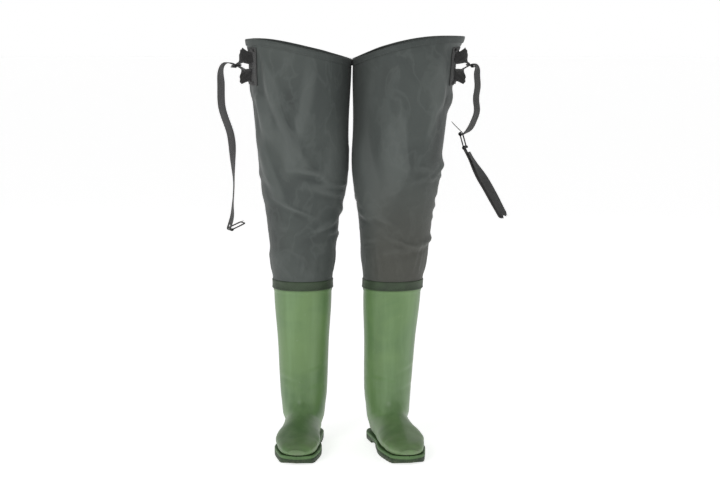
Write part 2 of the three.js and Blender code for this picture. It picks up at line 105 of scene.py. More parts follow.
world = bpy.data.worlds.new("white_room")
world.use_nodes = True
tree = world.node_tree
background = tree.nodes["Background"]
background.inputs["Color"].default_value = (1, 1, 1, 1)
heading = tree.nodes.new("ShaderNodeTexCoord")
parts = tree.nodes.new("ShaderNodeSeparateXYZ")
dim = tree.nodes.new("ShaderNodeMapRange")
tree.links.new(heading.outputs["Generated"], parts.inputs[0])
tree.links.new(parts.outputs["Z"], dim.inputs["Value"])
tree.links.new(dim.outputs[0], background.inputs["Strength"])
for socket, value in {"From Min": 0.12, "From Max": 0.5, "To Min": 1.0, "To Max": 0.22}.items():
    dim.inputs[socket].default_value = value
scene.world = world
scene.view_settings.view_transform = "Standard"
print("camera", LENS_MM, "mm, lights", list(PANELS))

# %% [markdown]
# ## Grids
# `quads` gives the faces of a grid of points. `make` turns points and faces into an object,
# with a UV map in metres, so that a weave drawn on it has its real size everywhere, and
# with named values on the points that a material can read, such as how far a fold stands
# out. The normal of a grid is the cross product of its two directions of travel: columns
# run round a leg from the front towards +X and rows run up, so the normals point outwards.

# %% Grid helpers
def quads(rows, columns, round_columns=True, round_rows=False):
    """Four-cornered faces between neighbours of a grid, and each corner's row and column."""
    r, c = np.meshgrid(np.arange(rows - (not round_rows)), np.arange(columns - (not round_columns)),
                       indexing="ij")
    r, c = r.ravel(), c.ravel()
    at = [(r, c), (r, c + 1), (r + 1, c + 1), (r + 1, c)]
    faces = np.stack([row % rows * columns + column % columns for row, column in at], axis=1)
    return faces, at


def make(name, points, faces, uv=None, values=None):
    """An object from points and faces, with UV for each face corner and values for each point."""
    mesh = bpy.data.meshes.new(name)
    mesh.from_pydata(np.reshape(points, (-1, 3)).tolist(), [], [list(f) for f in faces])
    if uv is not None:
        layer = mesh.uv_layers.new(name="metres")
        layer.data.foreach_set("uv", np.asarray(uv, np.float32).ravel())
    for key, value in (values or {}).items():
        attribute = mesh.attributes.new(key, "FLOAT", "POINT")
        attribute.data.foreach_set("value", np.asarray(value, np.float32).ravel())
    mesh.shade_smooth()
    thing = bpy.data.objects.new(name, mesh)
    scene.collection.objects.link(thing)
    return thing


def surface(name, grid, uv, round_columns=True, round_rows=False, values=None, keep=None):
    """An object from a grid of points and a grid of UV, which has one row or column more
    where the grid is round. keep, where it is given, says which faces stay."""
    faces, at = quads(*grid.shape[:2], round_columns, round_rows)
    corners = np.stack([uv[row, column] for row, column in at], axis=1)
    if keep is not None:
        faces, corners = faces[keep], corners[keep]
    return make(name, grid, faces, corners, values)


def flat_map(along, up):
    """UV in metres for a grid: one list of distances across its columns, one up its rows."""
    return np.stack(np.meshgrid(along, up), axis=-1)


def capped(name, grid, uv, first=True, last=True):
    """A round grid whose end rows are each closed by triangles to their middle."""
    rows, columns = grid.shape[:2]
    faces, at = quads(rows, columns)
    corners = [np.stack([uv[row, column] for row, column in at], axis=1).reshape(-1, 2)]
    points, faces = [grid.reshape(-1, 3)], faces.tolist()
    turn = np.arange(columns)
    for row, wanted, order in [(0, first, (2, 1)), (rows - 1, last, (1, 2))]:
        if wanted:
            middle = np.full(columns, rows * columns + len(points) - 1)
            fan = [middle, turn + row * columns, (turn + 1) % columns + row * columns]
            faces += np.stack([fan[0], fan[order[0]], fan[order[1]]], axis=1).tolist()
            corners.append(np.repeat(uv[row, turn], 3, axis=0))
            points.append(grid[row].mean(axis=0)[None])
    return make(name, np.concatenate(points), faces, np.concatenate(corners))


def unit(vectors):
    """Each vector divided by its length."""
    return vectors / np.maximum(np.linalg.norm(vectors, axis=-1, keepdims=True), 1e-12)


def normals(grid):
    """Outward normals of a round grid: its step along the columns crossed with its step up
    the rows. Where the rows run down instead, they point inwards."""
    along = np.roll(grid, -1, axis=1) - np.roll(grid, 1, axis=1)
    return unit(np.cross(along, np.gradient(grid, axis=0)))


def wall(thing, thickness, offset=-1.0):
    """Solidify: a wall under the surface, or either side of it where the offset is 0."""
    modifier = thing.modifiers.new("wall", "SOLIDIFY")
    modifier.thickness = thickness
    modifier.offset = offset
    modifier.use_even_offset = True
    return modifier


def round_edges(thing, width):
    """Bevel: the cut edges of a wall are rounded over."""
    modifier = thing.modifiers.new("round_edges", "BEVEL")
    modifier.width = width
    modifier.segments = 2
    modifier.limit_method = "ANGLE"


def ease(value, low, high):
    """0 below low, 1 above high, and a smooth step between."""
    t = np.clip((value - low) / (high - low), 0, 1)
    return t * t * (3 - 2 * t)


def bell(value):
    """1 at 0, falling away on both sides as exp(-value squared)."""
    return np.exp(-np.square(value))


def smooth(rows, at, column):
    """A smooth value between rows of [place, values...] that never swings past a row: a
    Hermite curve whose slope at a row is the harmonic mean of the rises beside it."""
    rows = np.asarray(rows, float)
    x, v = rows[:, 0], rows[:, column]
    rise = np.diff(v) / np.diff(x)
    product = rise[:-1] * rise[1:]
    turning = product <= 0
    mean = 2 * product / np.where(turning, 1, rise[:-1] + rise[1:])
    slope = np.concatenate([rise[:1], np.where(turning, 0, mean), rise[-1:]])
    i = np.clip(np.searchsorted(x, at, side="right") - 1, 0, len(x) - 2)
    span = x[i + 1] - x[i]
    t = np.clip((at - x[i]) / span, 0, 1)
    straight = v[i] + (v[i + 1] - v[i]) * t * t * (3 - 2 * t)
    return straight + span * t * (1 - t) * ((1 - t) * slope[i] - t * slope[i + 1])


def from_angle(angle, at):
    """The turn from one angle to another, between minus half a circle and plus half."""
    return (angle - at + np.pi) % (2 * np.pi) - np.pi


print("faces of a tube of 3 rows and 4 columns", len(quads(3, 4)[0]))


# %% [markdown]
# ## The stance of each wader
# Each wader has its own sections, turned by its toe-out and moved to the leg's line. That
# line passes through the knee's hinge, which the frame gives, and leans so that the two
# legs nearly meet at the crotch.

# %% Sizes of the leg and its place
ANKLE_FRONT, INNER_TOP, OUTER_TOP = 0.128, 0.847, 0.898
BAND_LOW, BAND_HIGH, LEG_FOOT = 0.346, 0.366, 0.348
HEM_HEIGHT = 0.014
RIM_WIDTH, RIM_DEPTH = 0.1316, 0.1376

STANCES = {
    "right": {"side": -1, "toe_out": np.radians(4.5), "lean": -0.0045, "climb": 1.15,
              "waist": 0.005, "flare": 0.008, "droop": 0.008},
    "left": {"side": 1, "toe_out": np.radians(13), "lean": 0.0345, "climb": 2,
             "waist": 0.002, "flare": 0.020, "droop": 0.002},
}
for name, stance in STANCES.items():
    stance["name"] = name
    stance["knee"] = joints[f"{name}_knee_bend"]["pos_m"]

# Outside of the leg: [height, width, depth].
LEG_ROWS = [
    [LEG_FOOT, RIM_WIDTH, RIM_DEPTH],
    [BAND_HIGH, RIM_WIDTH, RIM_DEPTH],
    [0.412, 0.142, 0.148],
    [0.500, 0.161, 0.167],
    [0.670, 0.197, 0.206],
    [INNER_TOP, 0.222, 0.234],
    [OUTER_TOP, 0.222, 0.234],
]


def placed(stance, x, y, z):
    """A point of a wader's own section in the frame: turned by the toe-out, then moved to the
    leg's line at that height."""
    turn = stance["side"] * stance["toe_out"]
    share = (np.maximum(z, ANKLE_FRONT) - stance["knee"][2]) / (INNER_TOP - ANKLE_FRONT)
    middle = stance["knee"][0] + stance["lean"] * share
    return np.stack(np.broadcast_arrays(
        middle + x * np.cos(turn) - y * np.sin(turn),
        stance["knee"][1] + x * np.sin(turn) + y * np.cos(turn),
        z,
    ), axis=-1)


def top_edge(stance, angle):
    """Height of the leg's top edge, which climbs from the crotch to the hip."""
    turned = angle + stance["side"] * stance["toe_out"]
    outward = (1 + stance["side"] * np.sin(turned)) / 2
    droop = stance["droop"] * np.clip(outward, 0, 1) ** 8
    return INNER_TOP + (OUTER_TOP - INNER_TOP) * (1 - (1 - outward) ** stance["climb"]) - droop


HIP_TURN = np.radians(28)
HIP_HEIGHT = 0.832


def hip_angle(stance):
    """The middle of the hip patch: a quarter turn from the front, less the patch's turn."""
    return stance["side"] * (np.pi / 2 - HIP_TURN)


print("hips, degrees", [round(float(np.degrees(hip_angle(s)))) for s in STANCES.values()])


# %% [markdown]
# ## Folds
# Coated fabric is stiff and hardly stretches, so it breaks into folds where it is squeezed
# or pulled: lengthwise folds down the thigh, short level creases round the knee, small
# upright pleats above the weld where a wide leg meets a narrow rim, and rays that run down
# from the hip, where the strap pulls. Its weight also slumps inward above the knee, and the
# strap's pull flares the top edge out over a slight waist. A cloth simulation could find such
# folds, but here each one is written down as a ridge with a valley beside it, so that the same
# sum lifts the leg, its hem, its tape and its patch together.

# %% One fold and the sum of them
def folds_between(rng, count, angles, heights, slants, lengths, widths, depths):
    """Random folds, one a row: [angle, height, slant, half length, half width, depth]."""
    spans = [angles, heights, slants, lengths, widths, depths]
    return np.stack([rng.uniform(low, high, count) for low, high in spans], axis=1)


def fold_rows(stance):
    """All the folds of one leg. A slant of 0 is upright and 90 degrees is level."""
    rng = np.random.default_rng(4 if stance["side"] < 0 else 11)
    level, rear, all_round = np.pi / 2, np.pi, (-np.pi, np.pi)
    rays = folds_between(rng, 7, (-0.6, 0.9), (0.70, 0.80), (0, 0), (0.05, 0.10), (0.008, 0.014),
                         (0.0020, 0.0042))
    rays[:, 2] = -0.55 * rays[:, 0]
    rays[:, 0] += hip_angle(stance)
    return np.concatenate([
        rays,
        folds_between(rng, 22, all_round, (0.60, 0.84), (-0.45, 0.45), (0.05, 0.13),
                      (0.010, 0.022), (0.0018, 0.0050)),
        folds_between(rng, 26, all_round, (0.43, 0.62), (level - 0.5, level + 0.5),
                      (0.020, 0.052), (0.005, 0.010), (0.0016, 0.0040)),
        folds_between(rng, 9, (rear - 1.0, rear + 1.0), (0.455, 0.56), (level - 0.25, level + 0.25),
                      (0.03, 0.06), (0.005, 0.009), (0.0018, 0.0034)),
        folds_between(rng, 20, all_round, (0.385, 0.425), (-0.22, 0.22), (0.016, 0.035),
                      (0.004, 0.008), (0.0008, 0.0020)),
        folds_between(rng, 26, all_round, (0.40, 0.83), (-1.4, 1.4), (0.012, 0.035),
                      (0.003, 0.006), (0.0004, 0.0010)),
    ])


for stance in STANCES.values():
    stance["folds"] = fold_rows(stance)


def fold_height(stance, angle, z):
    """How far the fabric stands out from its plain section: for each fold, a bell across it
    less half a bell beside it, faded along its length. The sum sinks to nothing at the weld
    and lies down under the hip patch, where the legs meet, and where the buckle hangs."""
    radius = smooth(LEG_ROWS, z, 1) / 2
    total = 0.0012 * np.sin(3 * angle + 9 * z) * np.sin(17 * z + angle)
    for at, height, slant, length, width, depth in stance["folds"]:
        girth, up = from_angle(angle, at) * radius, z - height
        across = (girth * np.cos(slant) - up * np.sin(slant)) / width
        along = (girth * np.sin(slant) + up * np.cos(slant)) / length
        total = total + depth * (bell(across) - 0.5 * bell(across - 1.4)) * bell(along)
    beside = from_angle(angle, hip_angle(stance)) * radius
    patch = ease(-np.abs(beside), -0.045, -0.025) * ease(-np.abs(z - HIP_HEIGHT), -0.07, -0.045)
    inward = from_angle(angle, -stance["side"] * np.pi / 2)
    meeting = bell(inward / 0.75) * ease(z, 0.64, 0.72)
    buckle_z = joints[stance["name"] + "_buckle_swing"]["pos_m"][2]
    buckle = ease(-np.abs(beside), -0.075, -0.035) * ease(-np.abs(z - buckle_z), -0.07, -0.04)
    total = total * (1 - 0.92 * patch) * (1 - 0.9 * meeting) * (1 - 0.85 * buckle)
    total = total - 0.0025 * buckle
    slump = 0.010 * bell((z - 0.605) / 0.085) * bell(inward / 0.9)
    outer = from_angle(angle, stance["side"] * np.pi / 2)
    waist = stance["waist"] * bell((z - 0.735) / 0.045) * bell(outer / 0.7)
    flare = stance["flare"] * ease(z, 0.845, 0.896) * bell(outer / 0.55)
    return (total + slump - waist) * ease(z, BAND_HIGH, BAND_HIGH + 0.025) + flare


def leg_point(stance, angle, z, out=0.0):
    """A point of the leg's outside: an ellipse of the leg's width and depth at that height,
    grown by the folds and by out."""
    grow = fold_height(stance, angle, z) + out
    x = (smooth(LEG_ROWS, z, 1) / 2 + grow) * np.sin(angle)
    y = -(smooth(LEG_ROWS, z, 2) / 2 + grow) * np.cos(angle)
    return placed(stance, x, y, z)


print("folds a leg", [len(s["folds"]) for s in STANCES.values()])

# %% [markdown]
# ## Boots
# A waders' boot is moulded in one shot of PVC round a steel last, so its surface is smooth,
# slightly glossy and without seams. Its shape is a row of tilted rings: level round the
# shaft, tipping over the instep, and upright at the toe. Each ring is a superellipse, which
# is a circle whose corners can be filled out, and its sizes flow smoothly along the boot.

# %% Sizes of the boot
BOOT_HEIGHT, RIM, SHIN, ANKLE = 0.364, (0.127, 0.133), (0.113, 0.121), (0.103, 0.121)
FOOT_LENGTH, HEEL_BACK, TOE_HEIGHT, INSTEP_HEIGHT = 0.291, 0.061, 0.047, 0.086
SOLE_HEIGHT, FLOOR_OF_UPPER, SOLE_MARGIN = 0.018, 0.0136, 0.003
BOOT_WALL = 0.003

# Plan of the foot from the heel, as shares of its length: [share, half width, bend inward].
FOOT_PLAN = [
    [0, 0.0234, 0], [0.14, 0.039, 0], [0.4, 0.040, 0], [0.66, 0.048, 0.0018],
    [0.87, 0.0385, 0.00675], [0.96, 0.0300, 0.00855], [1, 0.0190, 0.009],
]


def foot_y(share):
    """Y at a share of the foot's length from the heel."""
    return HEEL_BACK - share * FOOT_LENGTH


def shaft(z, width, depth):
    """A level section: [front y, front z, back y, back z, half width, square, bend, nose]."""
    return [-depth / 2, z, depth / 2, z, width / 2, 2, 0, 0]


def foot(front, climb, back, back_z, square, nose=0):
    """A tilted section by shares of the foot's length at its front and back points."""
    widest = max((front + back) / 2, back)
    top = TOE_HEIGHT + (INSTEP_HEIGHT - TOE_HEIGHT) * climb
    return [foot_y(front), top, foot_y(back), back_z, smooth(FOOT_PLAN, widest, 1), square,
            smooth(FOOT_PLAN, back, 2), nose]


BACK_OF_HEEL = HEEL_BACK - 0.004
BOOT_SECTIONS = [
    shaft(BOOT_HEIGHT, *RIM),
    shaft(0.340, *RIM),
    shaft(0.2257, *SHIN),
    [-ANKLE[1] / 2, ANKLE_FRONT, BACK_OF_HEEL, 0.098, ANKLE[0] / 2, 2, 0, 0],
    [*foot(0.43, 1.45, 0, 0.078, 2)[:2], BACK_OF_HEEL, 0.078, ANKLE[0] * 0.475, 2, 0, 0],
    [*foot(0.468, 1.02, 0, 0.037, 2)[:4], ANKLE[0] * 0.44, 2, 0, 0],
    foot(0.5, 0.85, 0.022, 0.017, 2.4),
    foot(0.54, 0.7, 0.135, FLOOR_OF_UPPER, 3),
    foot(0.588, 0.56, 0.31, FLOOR_OF_UPPER, 3.4),
    foot(0.65, 0.41, 0.485, FLOOR_OF_UPPER, 3.6),
    foot(0.725, 0.25, 0.656, FLOOR_OF_UPPER, 3.6),
    foot(0.814, 0.12, 0.8, FLOOR_OF_UPPER, 3.6),
    foot(0.897, 0, 0.897, FLOOR_OF_UPPER + 0.0005, 3.2),
    foot(0.96, -0.16, 0.96, FLOOR_OF_UPPER + 0.003, 2.6, 0.5),
    foot(1, -0.38, 1, FLOOR_OF_UPPER + 0.007, 2.2, 1),
]
print("boot sections", len(BOOT_SECTIONS))

# %% The boot as a surface
sections = np.array(BOOT_SECTIONS, float)
steps = np.linalg.norm(np.diff(sections[:, :2], axis=0), axis=1)
steps += np.linalg.norm(np.diff(sections[:, 2:4], axis=0), axis=1)
distance = np.concatenate([[0], np.cumsum(steps / 2)])
section_rows = np.column_stack([distance, sections])
print("rim to toe along the boot's middle", round(float(distance[-1]), 3))


def boot_grid(stance, rows, columns, grow=0.0, end=1.0):
    """Points of the boot. Along it, each size of a section follows a smooth curve through the
    sections. Round it, a point is half the length times the cosine to a power towards the
    front, and half the width times the sine to the same power to the side. The toe is left
    open here; toe_cap closes it."""
    along = np.linspace(0, distance[-1] * end, rows)[:, None]
    front_y, front_z, back_y, back_z, half, square, bend, nose = (
        smooth(section_rows, along, column) for column in range(1, 9))
    angle = np.linspace(0, 2 * np.pi, columns, endpoint=False)[None]
    c, s = np.cos(angle), np.sin(angle)
    length = np.hypot(back_y - front_y, back_z - front_z)
    power = 2 / np.where(c < 0, square, np.minimum(square, 1.8))
    reach = -np.sign(c) * (length / 2 + grow) * np.abs(c) ** power
    x = np.sign(s) * (half + grow) * np.abs(s) ** power - stance["side"] * bend
    y = (front_y + back_y) / 2 - nose * grow + reach * (back_y - front_y) / length
    z = (front_z + back_z) / 2 + reach * (back_z - front_z) / length
    return np.stack(np.broadcast_arrays(x, y, z), axis=-1)


def toe_cap(grid, depth, count=10):
    """The rows that close the toe: copies of the last row shrunk to the cosine of an angle and
    pushed forward by its sine, so that the tip is a dome."""
    turn = np.linspace(0, np.pi / 2, count + 1)[1:-1, None, None]
    middle = grid[-1].mean(axis=0)
    dome = middle + (grid[-1][None] - middle) * np.cos(turn)
    dome[..., 1] -= depth * np.sin(turn[..., 0])
    return np.concatenate([grid, dome])


def boot_relief(grid, angle):
    """What the mould leaves on the plain shape, as a growth: a bead under the weld, level
    creases over the front and back of the ankle, a heel counter and a toe bumper."""
    y, z = grid[..., 1], grid[..., 2]
    front = ease(np.cos(angle), -0.1, 0.8)
    rear = ease(-np.cos(angle), -0.1, 0.8)
    relief = 0.0016 * bell((z - 0.3425) / 0.0028)
    for height, depth, tilt, at in [(0.158, 0.0011, 0.30, 0.5), (0.139, 0.0017, -0.22, -0.3),
                                    (0.121, 0.0012, 0.16, 0.2)]:
        level = z - height - tilt * grid[..., 0]
        here = front * bell((np.sin(angle) - at) / 0.75)
        relief = relief - depth * bell(level / 0.0060) * here
        relief = relief + 0.7 * depth * bell((level - 0.010) / 0.007) * here
    for height, depth in [(0.116, 0.0012), (0.135, 0.0015), (0.152, 0.0008)]:
        relief = relief - depth * bell((z - height - 0.1 * grid[..., 0]) / 0.006) * rear
    counter = ease(y, 0.028, 0.034) * ease(z, 0.082, 0.074)
    bumper = ease(-y, 0.168, 0.174) * ease(z, 0.046, 0.040)
    return relief + 0.0008 * counter + 0.0009 * bumper * ease(z, 0.0, 0.02)


def boot_points(stance, rows, columns, grow=0.0, end=1.0, cap=0.0035, relief=True):
    """The boot's grid in the frame, closed at the toe. Its rows run down from the rim, so its
    normals point inwards and the relief is taken away from it to stand out."""
    grid = boot_grid(stance, rows, columns, grow, end)
    angle = np.linspace(0, 2 * np.pi, columns, endpoint=False)[None]
    if relief:
        grid = grid - normals(grid) * boot_relief(grid, angle)[..., None]
    grid = toe_cap(grid, cap)
    return placed(stance, grid[..., 0], grid[..., 1], grid[..., 2])


def round_map(grid):
    """UV in metres for a round grid: its mean length round and its mean length along."""
    step = np.linalg.norm(np.diff(grid, axis=0), axis=-1).mean(axis=1)
    girth = np.linalg.norm(np.roll(grid, -1, axis=1) - grid, axis=-1).sum(axis=1).mean()
    along = np.linspace(0, girth, grid.shape[1] + 1)
    return flat_map(along, np.concatenate([[0], np.cumsum(step)]))


# %% The boots and what is inside them
pieces = {}
for side, stance in STANCES.items():
    upper = boot_points(stance, 190, 144)[::-1]
    boot = capped(f"{side}_boot_shell", upper, round_map(upper), True, False)
    wall(boot, BOOT_WALL)
    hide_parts(f"{side}_boot_upper")
    inner = boot_points(stance, 80, 64, -0.0050, 0.93, 0.002, False)[::-1]
    lining = capped(f"{side}_knit_lining", inner, round_map(inner), True, False)
    wall(lining, 0.0008)
    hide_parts(f"{side}_boot_lining")
    for piece, slot in [(boot, "boot_pvc"), (lining, "lining_knit")]:
        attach(piece, f"{side}_boot")
        pieces[piece.name] = piece
print("boot points", upper.shape, "toe tip", upper[0].mean(axis=0).round(4))

# %% [markdown]
# ## Soles and insoles
# The outsole is a second, harder shot of PVC. Its section is a shallow tray that holds the
# upper: a treaded underside, a side wall with a thin line round it, and a low rim. One closed
# section carried from heel to toe makes the whole tray, and the tread is only a change in
# the height of its underside along the way. The insole is the same idea with a flat section.

# %% One closed section carried along the foot
def carried(stance, section, rows, margin):
    """A closed section carried from heel to toe: at a share of the foot, the section's sideways
    numbers are multiplied by the plan's half width there, and its heights may depend on the
    distance. The rows lie closer at the two ends, by a cosine."""
    turn = np.linspace(0.012, np.pi - 0.012, rows)[:, None]
    share = (1 - np.cos(turn)) / 2
    near = np.minimum(1, 1.9 * np.sin(turn))
    ends = 1.5 * near - 0.5 * near ** 3
    half = (smooth(FOOT_PLAN, share, 1) + margin) * ends
    y = foot_y(share) + margin * np.cos(turn)
    across, height = section(share, half)
    x = across - stance["side"] * smooth(FOOT_PLAN, share, 2)
    return placed(stance, x, y + 0 * x, height + 0 * x)


def pulses(share, start, end, pitch, width):
    """1 in the grooves and 0 between them, for grooves of one width and pitch in metres."""
    offset = (share - start) * FOOT_LENGTH
    inside = ease(share, start - 0.001, start + 0.001) * ease(-share, -end - 0.001, -end + 0.001)
    place = np.mod(offset, pitch)
    return inside * ease(place, 0, 0.0009) * ease(-place, -width, -width + 0.0009)


def sole_section(share, half):
    """The tray: underside from edge to edge, side wall with its line, rim, inner wall, floor.
    Sideways it is given in metres, from the half width of the rim."""
    t = np.linspace(-1, 1, 31)[None]
    fore, heel = pulses(share, 0.5, 0.95, 0.015, 0.005), pulses(share, 0.06, 0.24, 0.021, 0.005)
    tread = 0.004 * (fore + heel)
    arch = 0.007 * ease(share, 0.275, 0.287) * ease(-share, -0.445, -0.433)
    lift = np.maximum(tread, arch) + 0.0035 * ease(share, 0.9, 1.0) ** 2
    rib = 0.0012 * bell((np.abs(t) - 0.62) / 0.03) * (1 - ease(lift, 0, 0.002))
    inner = half * half / (half + 0.0065)
    side_heights = np.array([0.0012, 0.006, 0.0105, 0.0113, 0.0121, 0.0129, 0.016, 0.0174])
    side_out = np.array([-0.0004, 0.0001, 0.0001, -0.0009, -0.0009, 0.0001, 0.0001, -0.0004])
    shrink = np.minimum(1, half / 0.01)
    wall_x = half + side_out[None] * shrink
    wall_z = lift * (1 - side_heights[None] / SOLE_HEIGHT) + side_heights[None]
    rim_x = np.concatenate([half - 0.0012 * shrink, (half + inner) / 2, inner], axis=1)
    rim_z = np.array([0.018, 0.01815, 0.0172])[None] + 0 * half
    floor_t = np.linspace(1, -1, 13)[None]
    floor_z = 0.0166 + 0 * half * floor_t
    across = np.concatenate([
        (half - 0.0012 * shrink) * t, wall_x, rim_x, inner * 0.97 * floor_t,
        -rim_x[:, ::-1], -wall_x[:, ::-1]], axis=1)
    height = np.concatenate([
        lift + rib, wall_z, rim_z, floor_z, rim_z[:, ::-1], wall_z[:, ::-1]], axis=1)
    return across, height


def insole_section(share, half):
    """A felt pad: flat below, softly domed above, dished at the heel."""
    t = np.linspace(-1, 1, 17)[None]
    low = 0.0198 + 0 * half * t
    dish = 0.0012 * ease(-share, -0.3, 0.0)
    high = 0.0236 - dish * (1 - t * t) - 0.0022 * t ** 8
    across = np.concatenate([half * t, half * t[:, ::-1]], axis=1)
    return across, np.concatenate([low, high[:, ::-1]], axis=1)


for side, stance in STANCES.items():
    tray = carried(stance, sole_section, 460, SOLE_MARGIN)
    sole = capped(f"{side}_sole", tray, round_map(tray))
    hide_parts(f"{side}_outsole")
    pad = carried(stance, insole_section, 90, -0.0085)
    felt = capped(f"{side}_insole_pad", pad, round_map(pad))
    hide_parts(f"{side}_insole")
    for piece, slot in [(sole, "sole_pvc"), (felt, "insole_felt")]:
        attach(piece, f"{side}_boot")
        pieces[piece.name] = piece
print("sole rows and points round", tray.shape[:2])

# %% [markdown]
# ## Legs
# Each leg is one flat cut of coated polyester, rolled into a tube and closed by a seam at the
# back, which is sealed with tape. It crosses the knee. The cloth gets its thickness from
# Solidify.

# %% The legs
ROUND, UP = 200, 236
turns = np.linspace(0, 2 * np.pi, ROUND, endpoint=False)
MEAN_RADIUS = 0.095  # sets the scale of the weave round a leg


def knee_bend(piece):
    """Bakes the piece's place into its points; the piece is bound to neither the boot nor the
    thigh and does not bend at the knee.
    """
    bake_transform(piece)


for side, stance in STANCES.items():
    share = np.linspace(0, 1, UP)[:, None]
    z = LEG_FOOT + (top_edge(stance, turns)[None] - 0.0006 - LEG_FOOT) * share
    grid = leg_point(stance, turns[None], z)
    uv = flat_map(np.linspace(0, 2 * np.pi * MEAN_RADIUS, ROUND + 1), np.linspace(0, 0.55, UP))
    leg = surface(f"{side}_leg", grid, uv, values={"fold": fold_height(stance, turns[None], z)})
    knee_bend(leg)
    wall(leg, 0.0008).material_offset = 1
    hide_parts(f"{side}_shin_fabric", f"{side}_knee_fabric", f"{side}_thigh_fabric")
    pieces[leg.name] = leg

# %% [markdown]
# ## Tape, hem and weld
# The tape is a strip of the same cloth, heat-sealed over the back seam. The hem is the top
# edge's cloth folded over itself and sewn with two rows. The weld is a moulded band that
# grips the cloth and the boot's rim. All three lie on the leg's own surface, a little
# further out, so they follow its folds.

# %% Tape, hem and weld
TAPE_HALF = 0.009

for side, stance in STANCES.items():
    reach = TAPE_HALF / MEAN_RADIUS
    across = np.pi + np.linspace(-reach, reach, 13)[None]
    high = float(top_edge(stance, np.pi)) - HEM_HEIGHT - 0.003
    z = np.linspace(BAND_HIGH + 0.0004, high, 220)[:, None]
    swell = 0.0011 - 0.0006 * np.abs(np.linspace(-1, 1, 13)[None]) ** 6
    grid = leg_point(stance, across + 0.004 * np.sin(31 * z), z, swell)
    tape = surface(f"{side}_seam_tape", grid, flat_map(across[0] * MEAN_RADIUS, z[:, 0]),
                   round_columns=False)
    knee_bend(tape)
    wall(tape, 0.0007)
    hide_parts(f"{side}_shin_seam_tape", f"{side}_thigh_seam_tape")

    top = top_edge(stance, turns)[None]
    fold_over = np.concatenate([
        np.stack([np.full(12, 0.0012), np.linspace(-HEM_HEIGHT, -0.0016, 12)]),
        np.stack([np.array([0.0008, -0.0004, -0.0016]), np.array([-0.0004, 0.0, -0.0004])]),
        np.stack([np.full(12, -0.0020), np.linspace(-0.0016, -HEM_HEIGHT, 12)]),
    ], axis=1)
    out, drop = fold_over[0][:, None], fold_over[1][:, None]
    pucker = 0.0003 * np.sin(turns * 95)[None] * bell((drop + 0.007) / 0.004) * np.sign(out)
    grid = leg_point(stance, turns[None], top + drop, out + pucker)
    length = np.concatenate([[0], np.cumsum(np.hypot(*np.diff(fold_over, axis=1)))])
    hem = surface(f"{side}_hem", grid, flat_map(np.linspace(0, 0.72, ROUND + 1), length))
    wall(hem, 0.0009, 0)
    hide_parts(f"{side}_top_hem")
    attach(hem, f"{side}_thigh")

    profile = np.array([
        [0.0002, 0.0], [0.0010, 0.0001], [0.0016, 0.0010], [0.0018, 0.0024], [0.0013, 0.0034],
        [0.0012, 0.0100], [0.0013, 0.0166], [0.0017, 0.0176], [0.0015, 0.0190], [0.0009, 0.0199],
        [0.0002, 0.0200], [0.0002, 0.0100]])
    grid = leg_point(stance, turns[None], BAND_LOW + profile[:, 1:], profile[:, :1])
    length = np.linspace(0, 0.046, len(profile) + 1)
    band = surface(f"{side}_weld_band", grid, flat_map(np.linspace(0, 0.425, ROUND + 1), length),
                   round_rows=True)
    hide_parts(f"{side}_joint_band")
    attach(band, f"{side}_boot")
    pieces.update({piece.name: piece for piece in (tape, hem, band)})
print("tape, hem and weld made")

# %% [markdown]
# ## The hip
# Everything at the hip lies in one upright plane that stands square to the leg. The hinge of
# the ring gives it: the hinge's axis runs along the bar, so the plane's outward direction is
# that axis turned a quarter. A shape is drawn as [outward, up] and then placed.

# %% The upright plane at the hip
BAR_ROOM, WEB, WEB_THICK, WIRE = 0.0025, 0.025, 0.0018, 0.003
WRAP = BAR_ROOM + 0.001
TAB_BAR = np.array([0.030, 0.004])
RING_LENGTH, BUCKLE_LENGTH = 0.013, 0.031
UPWARD = np.array([0.0, 0.0, 1.0])


class HipPlane:
    """The plane at one hip: outward and up, with sideways square to it."""

    def __init__(self, side):
        ring = joints[f"{side}_ring_swing"]
        axis = unit(np.array(ring["axis"], float))
        self.outward = np.array([-axis[1], axis[0], 0.0])
        self.sideways = np.cross(UPWARD, self.outward)
        self.origin = np.array(ring["pos_m"]) - self.placed_from(TAB_BAR)

    def placed_from(self, flat):
        """The step in the frame that [outward, up] stands for."""
        flat = np.asarray(flat, float)
        return flat[..., :1] * self.outward + flat[..., 1:2] * UPWARD

    def point(self, flat, sideways=0.0):
        """A point of the plane, moved sideways."""
        across = np.asarray(sideways)[..., None] * self.sideways
        return self.origin + self.placed_from(flat) + across

    def flat(self, point):
        """[outward, up] of a point in the frame."""
        away = np.asarray(point, float) - self.origin
        return np.stack([away @ self.outward, away[..., 2]], axis=-1)

    def pivot(self, joint):
        """A joint's place as [outward, up]."""
        return self.flat(joints[joint]["pos_m"])


hips = {side: HipPlane(side) for side in STANCES}


def arc(centre, radius, start, end, count):
    """Points on an arc, in degrees, anticlockwise where the second angle is larger."""
    angle = np.radians(np.linspace(start, end, count))
    return centre + radius * np.stack([np.cos(angle), np.sin(angle)], axis=1)


def flowing(points, count):
    """A smooth line through points: between two of them, a cubic whose slope at each is half
    the step between its neighbours."""
    points = np.asarray(points, float)
    padded = np.concatenate([points[:1], points, points[-1:]])
    t = np.linspace(0, len(points) - 1, count)
    i = np.minimum(t.astype(int), len(points) - 2)
    f = (t - i)[:, None]
    p0, p1, p2, p3 = (padded[i + k] for k in range(4))
    v0, v1 = (p2 - p0) / 2, (p3 - p1) / 2
    return ((2 * p1 - 2 * p2 + v0 + v1) * f ** 3 + (3 * p2 - 3 * p1 - 2 * v0 - v1) * f ** 2
            + v0 * f + p1)


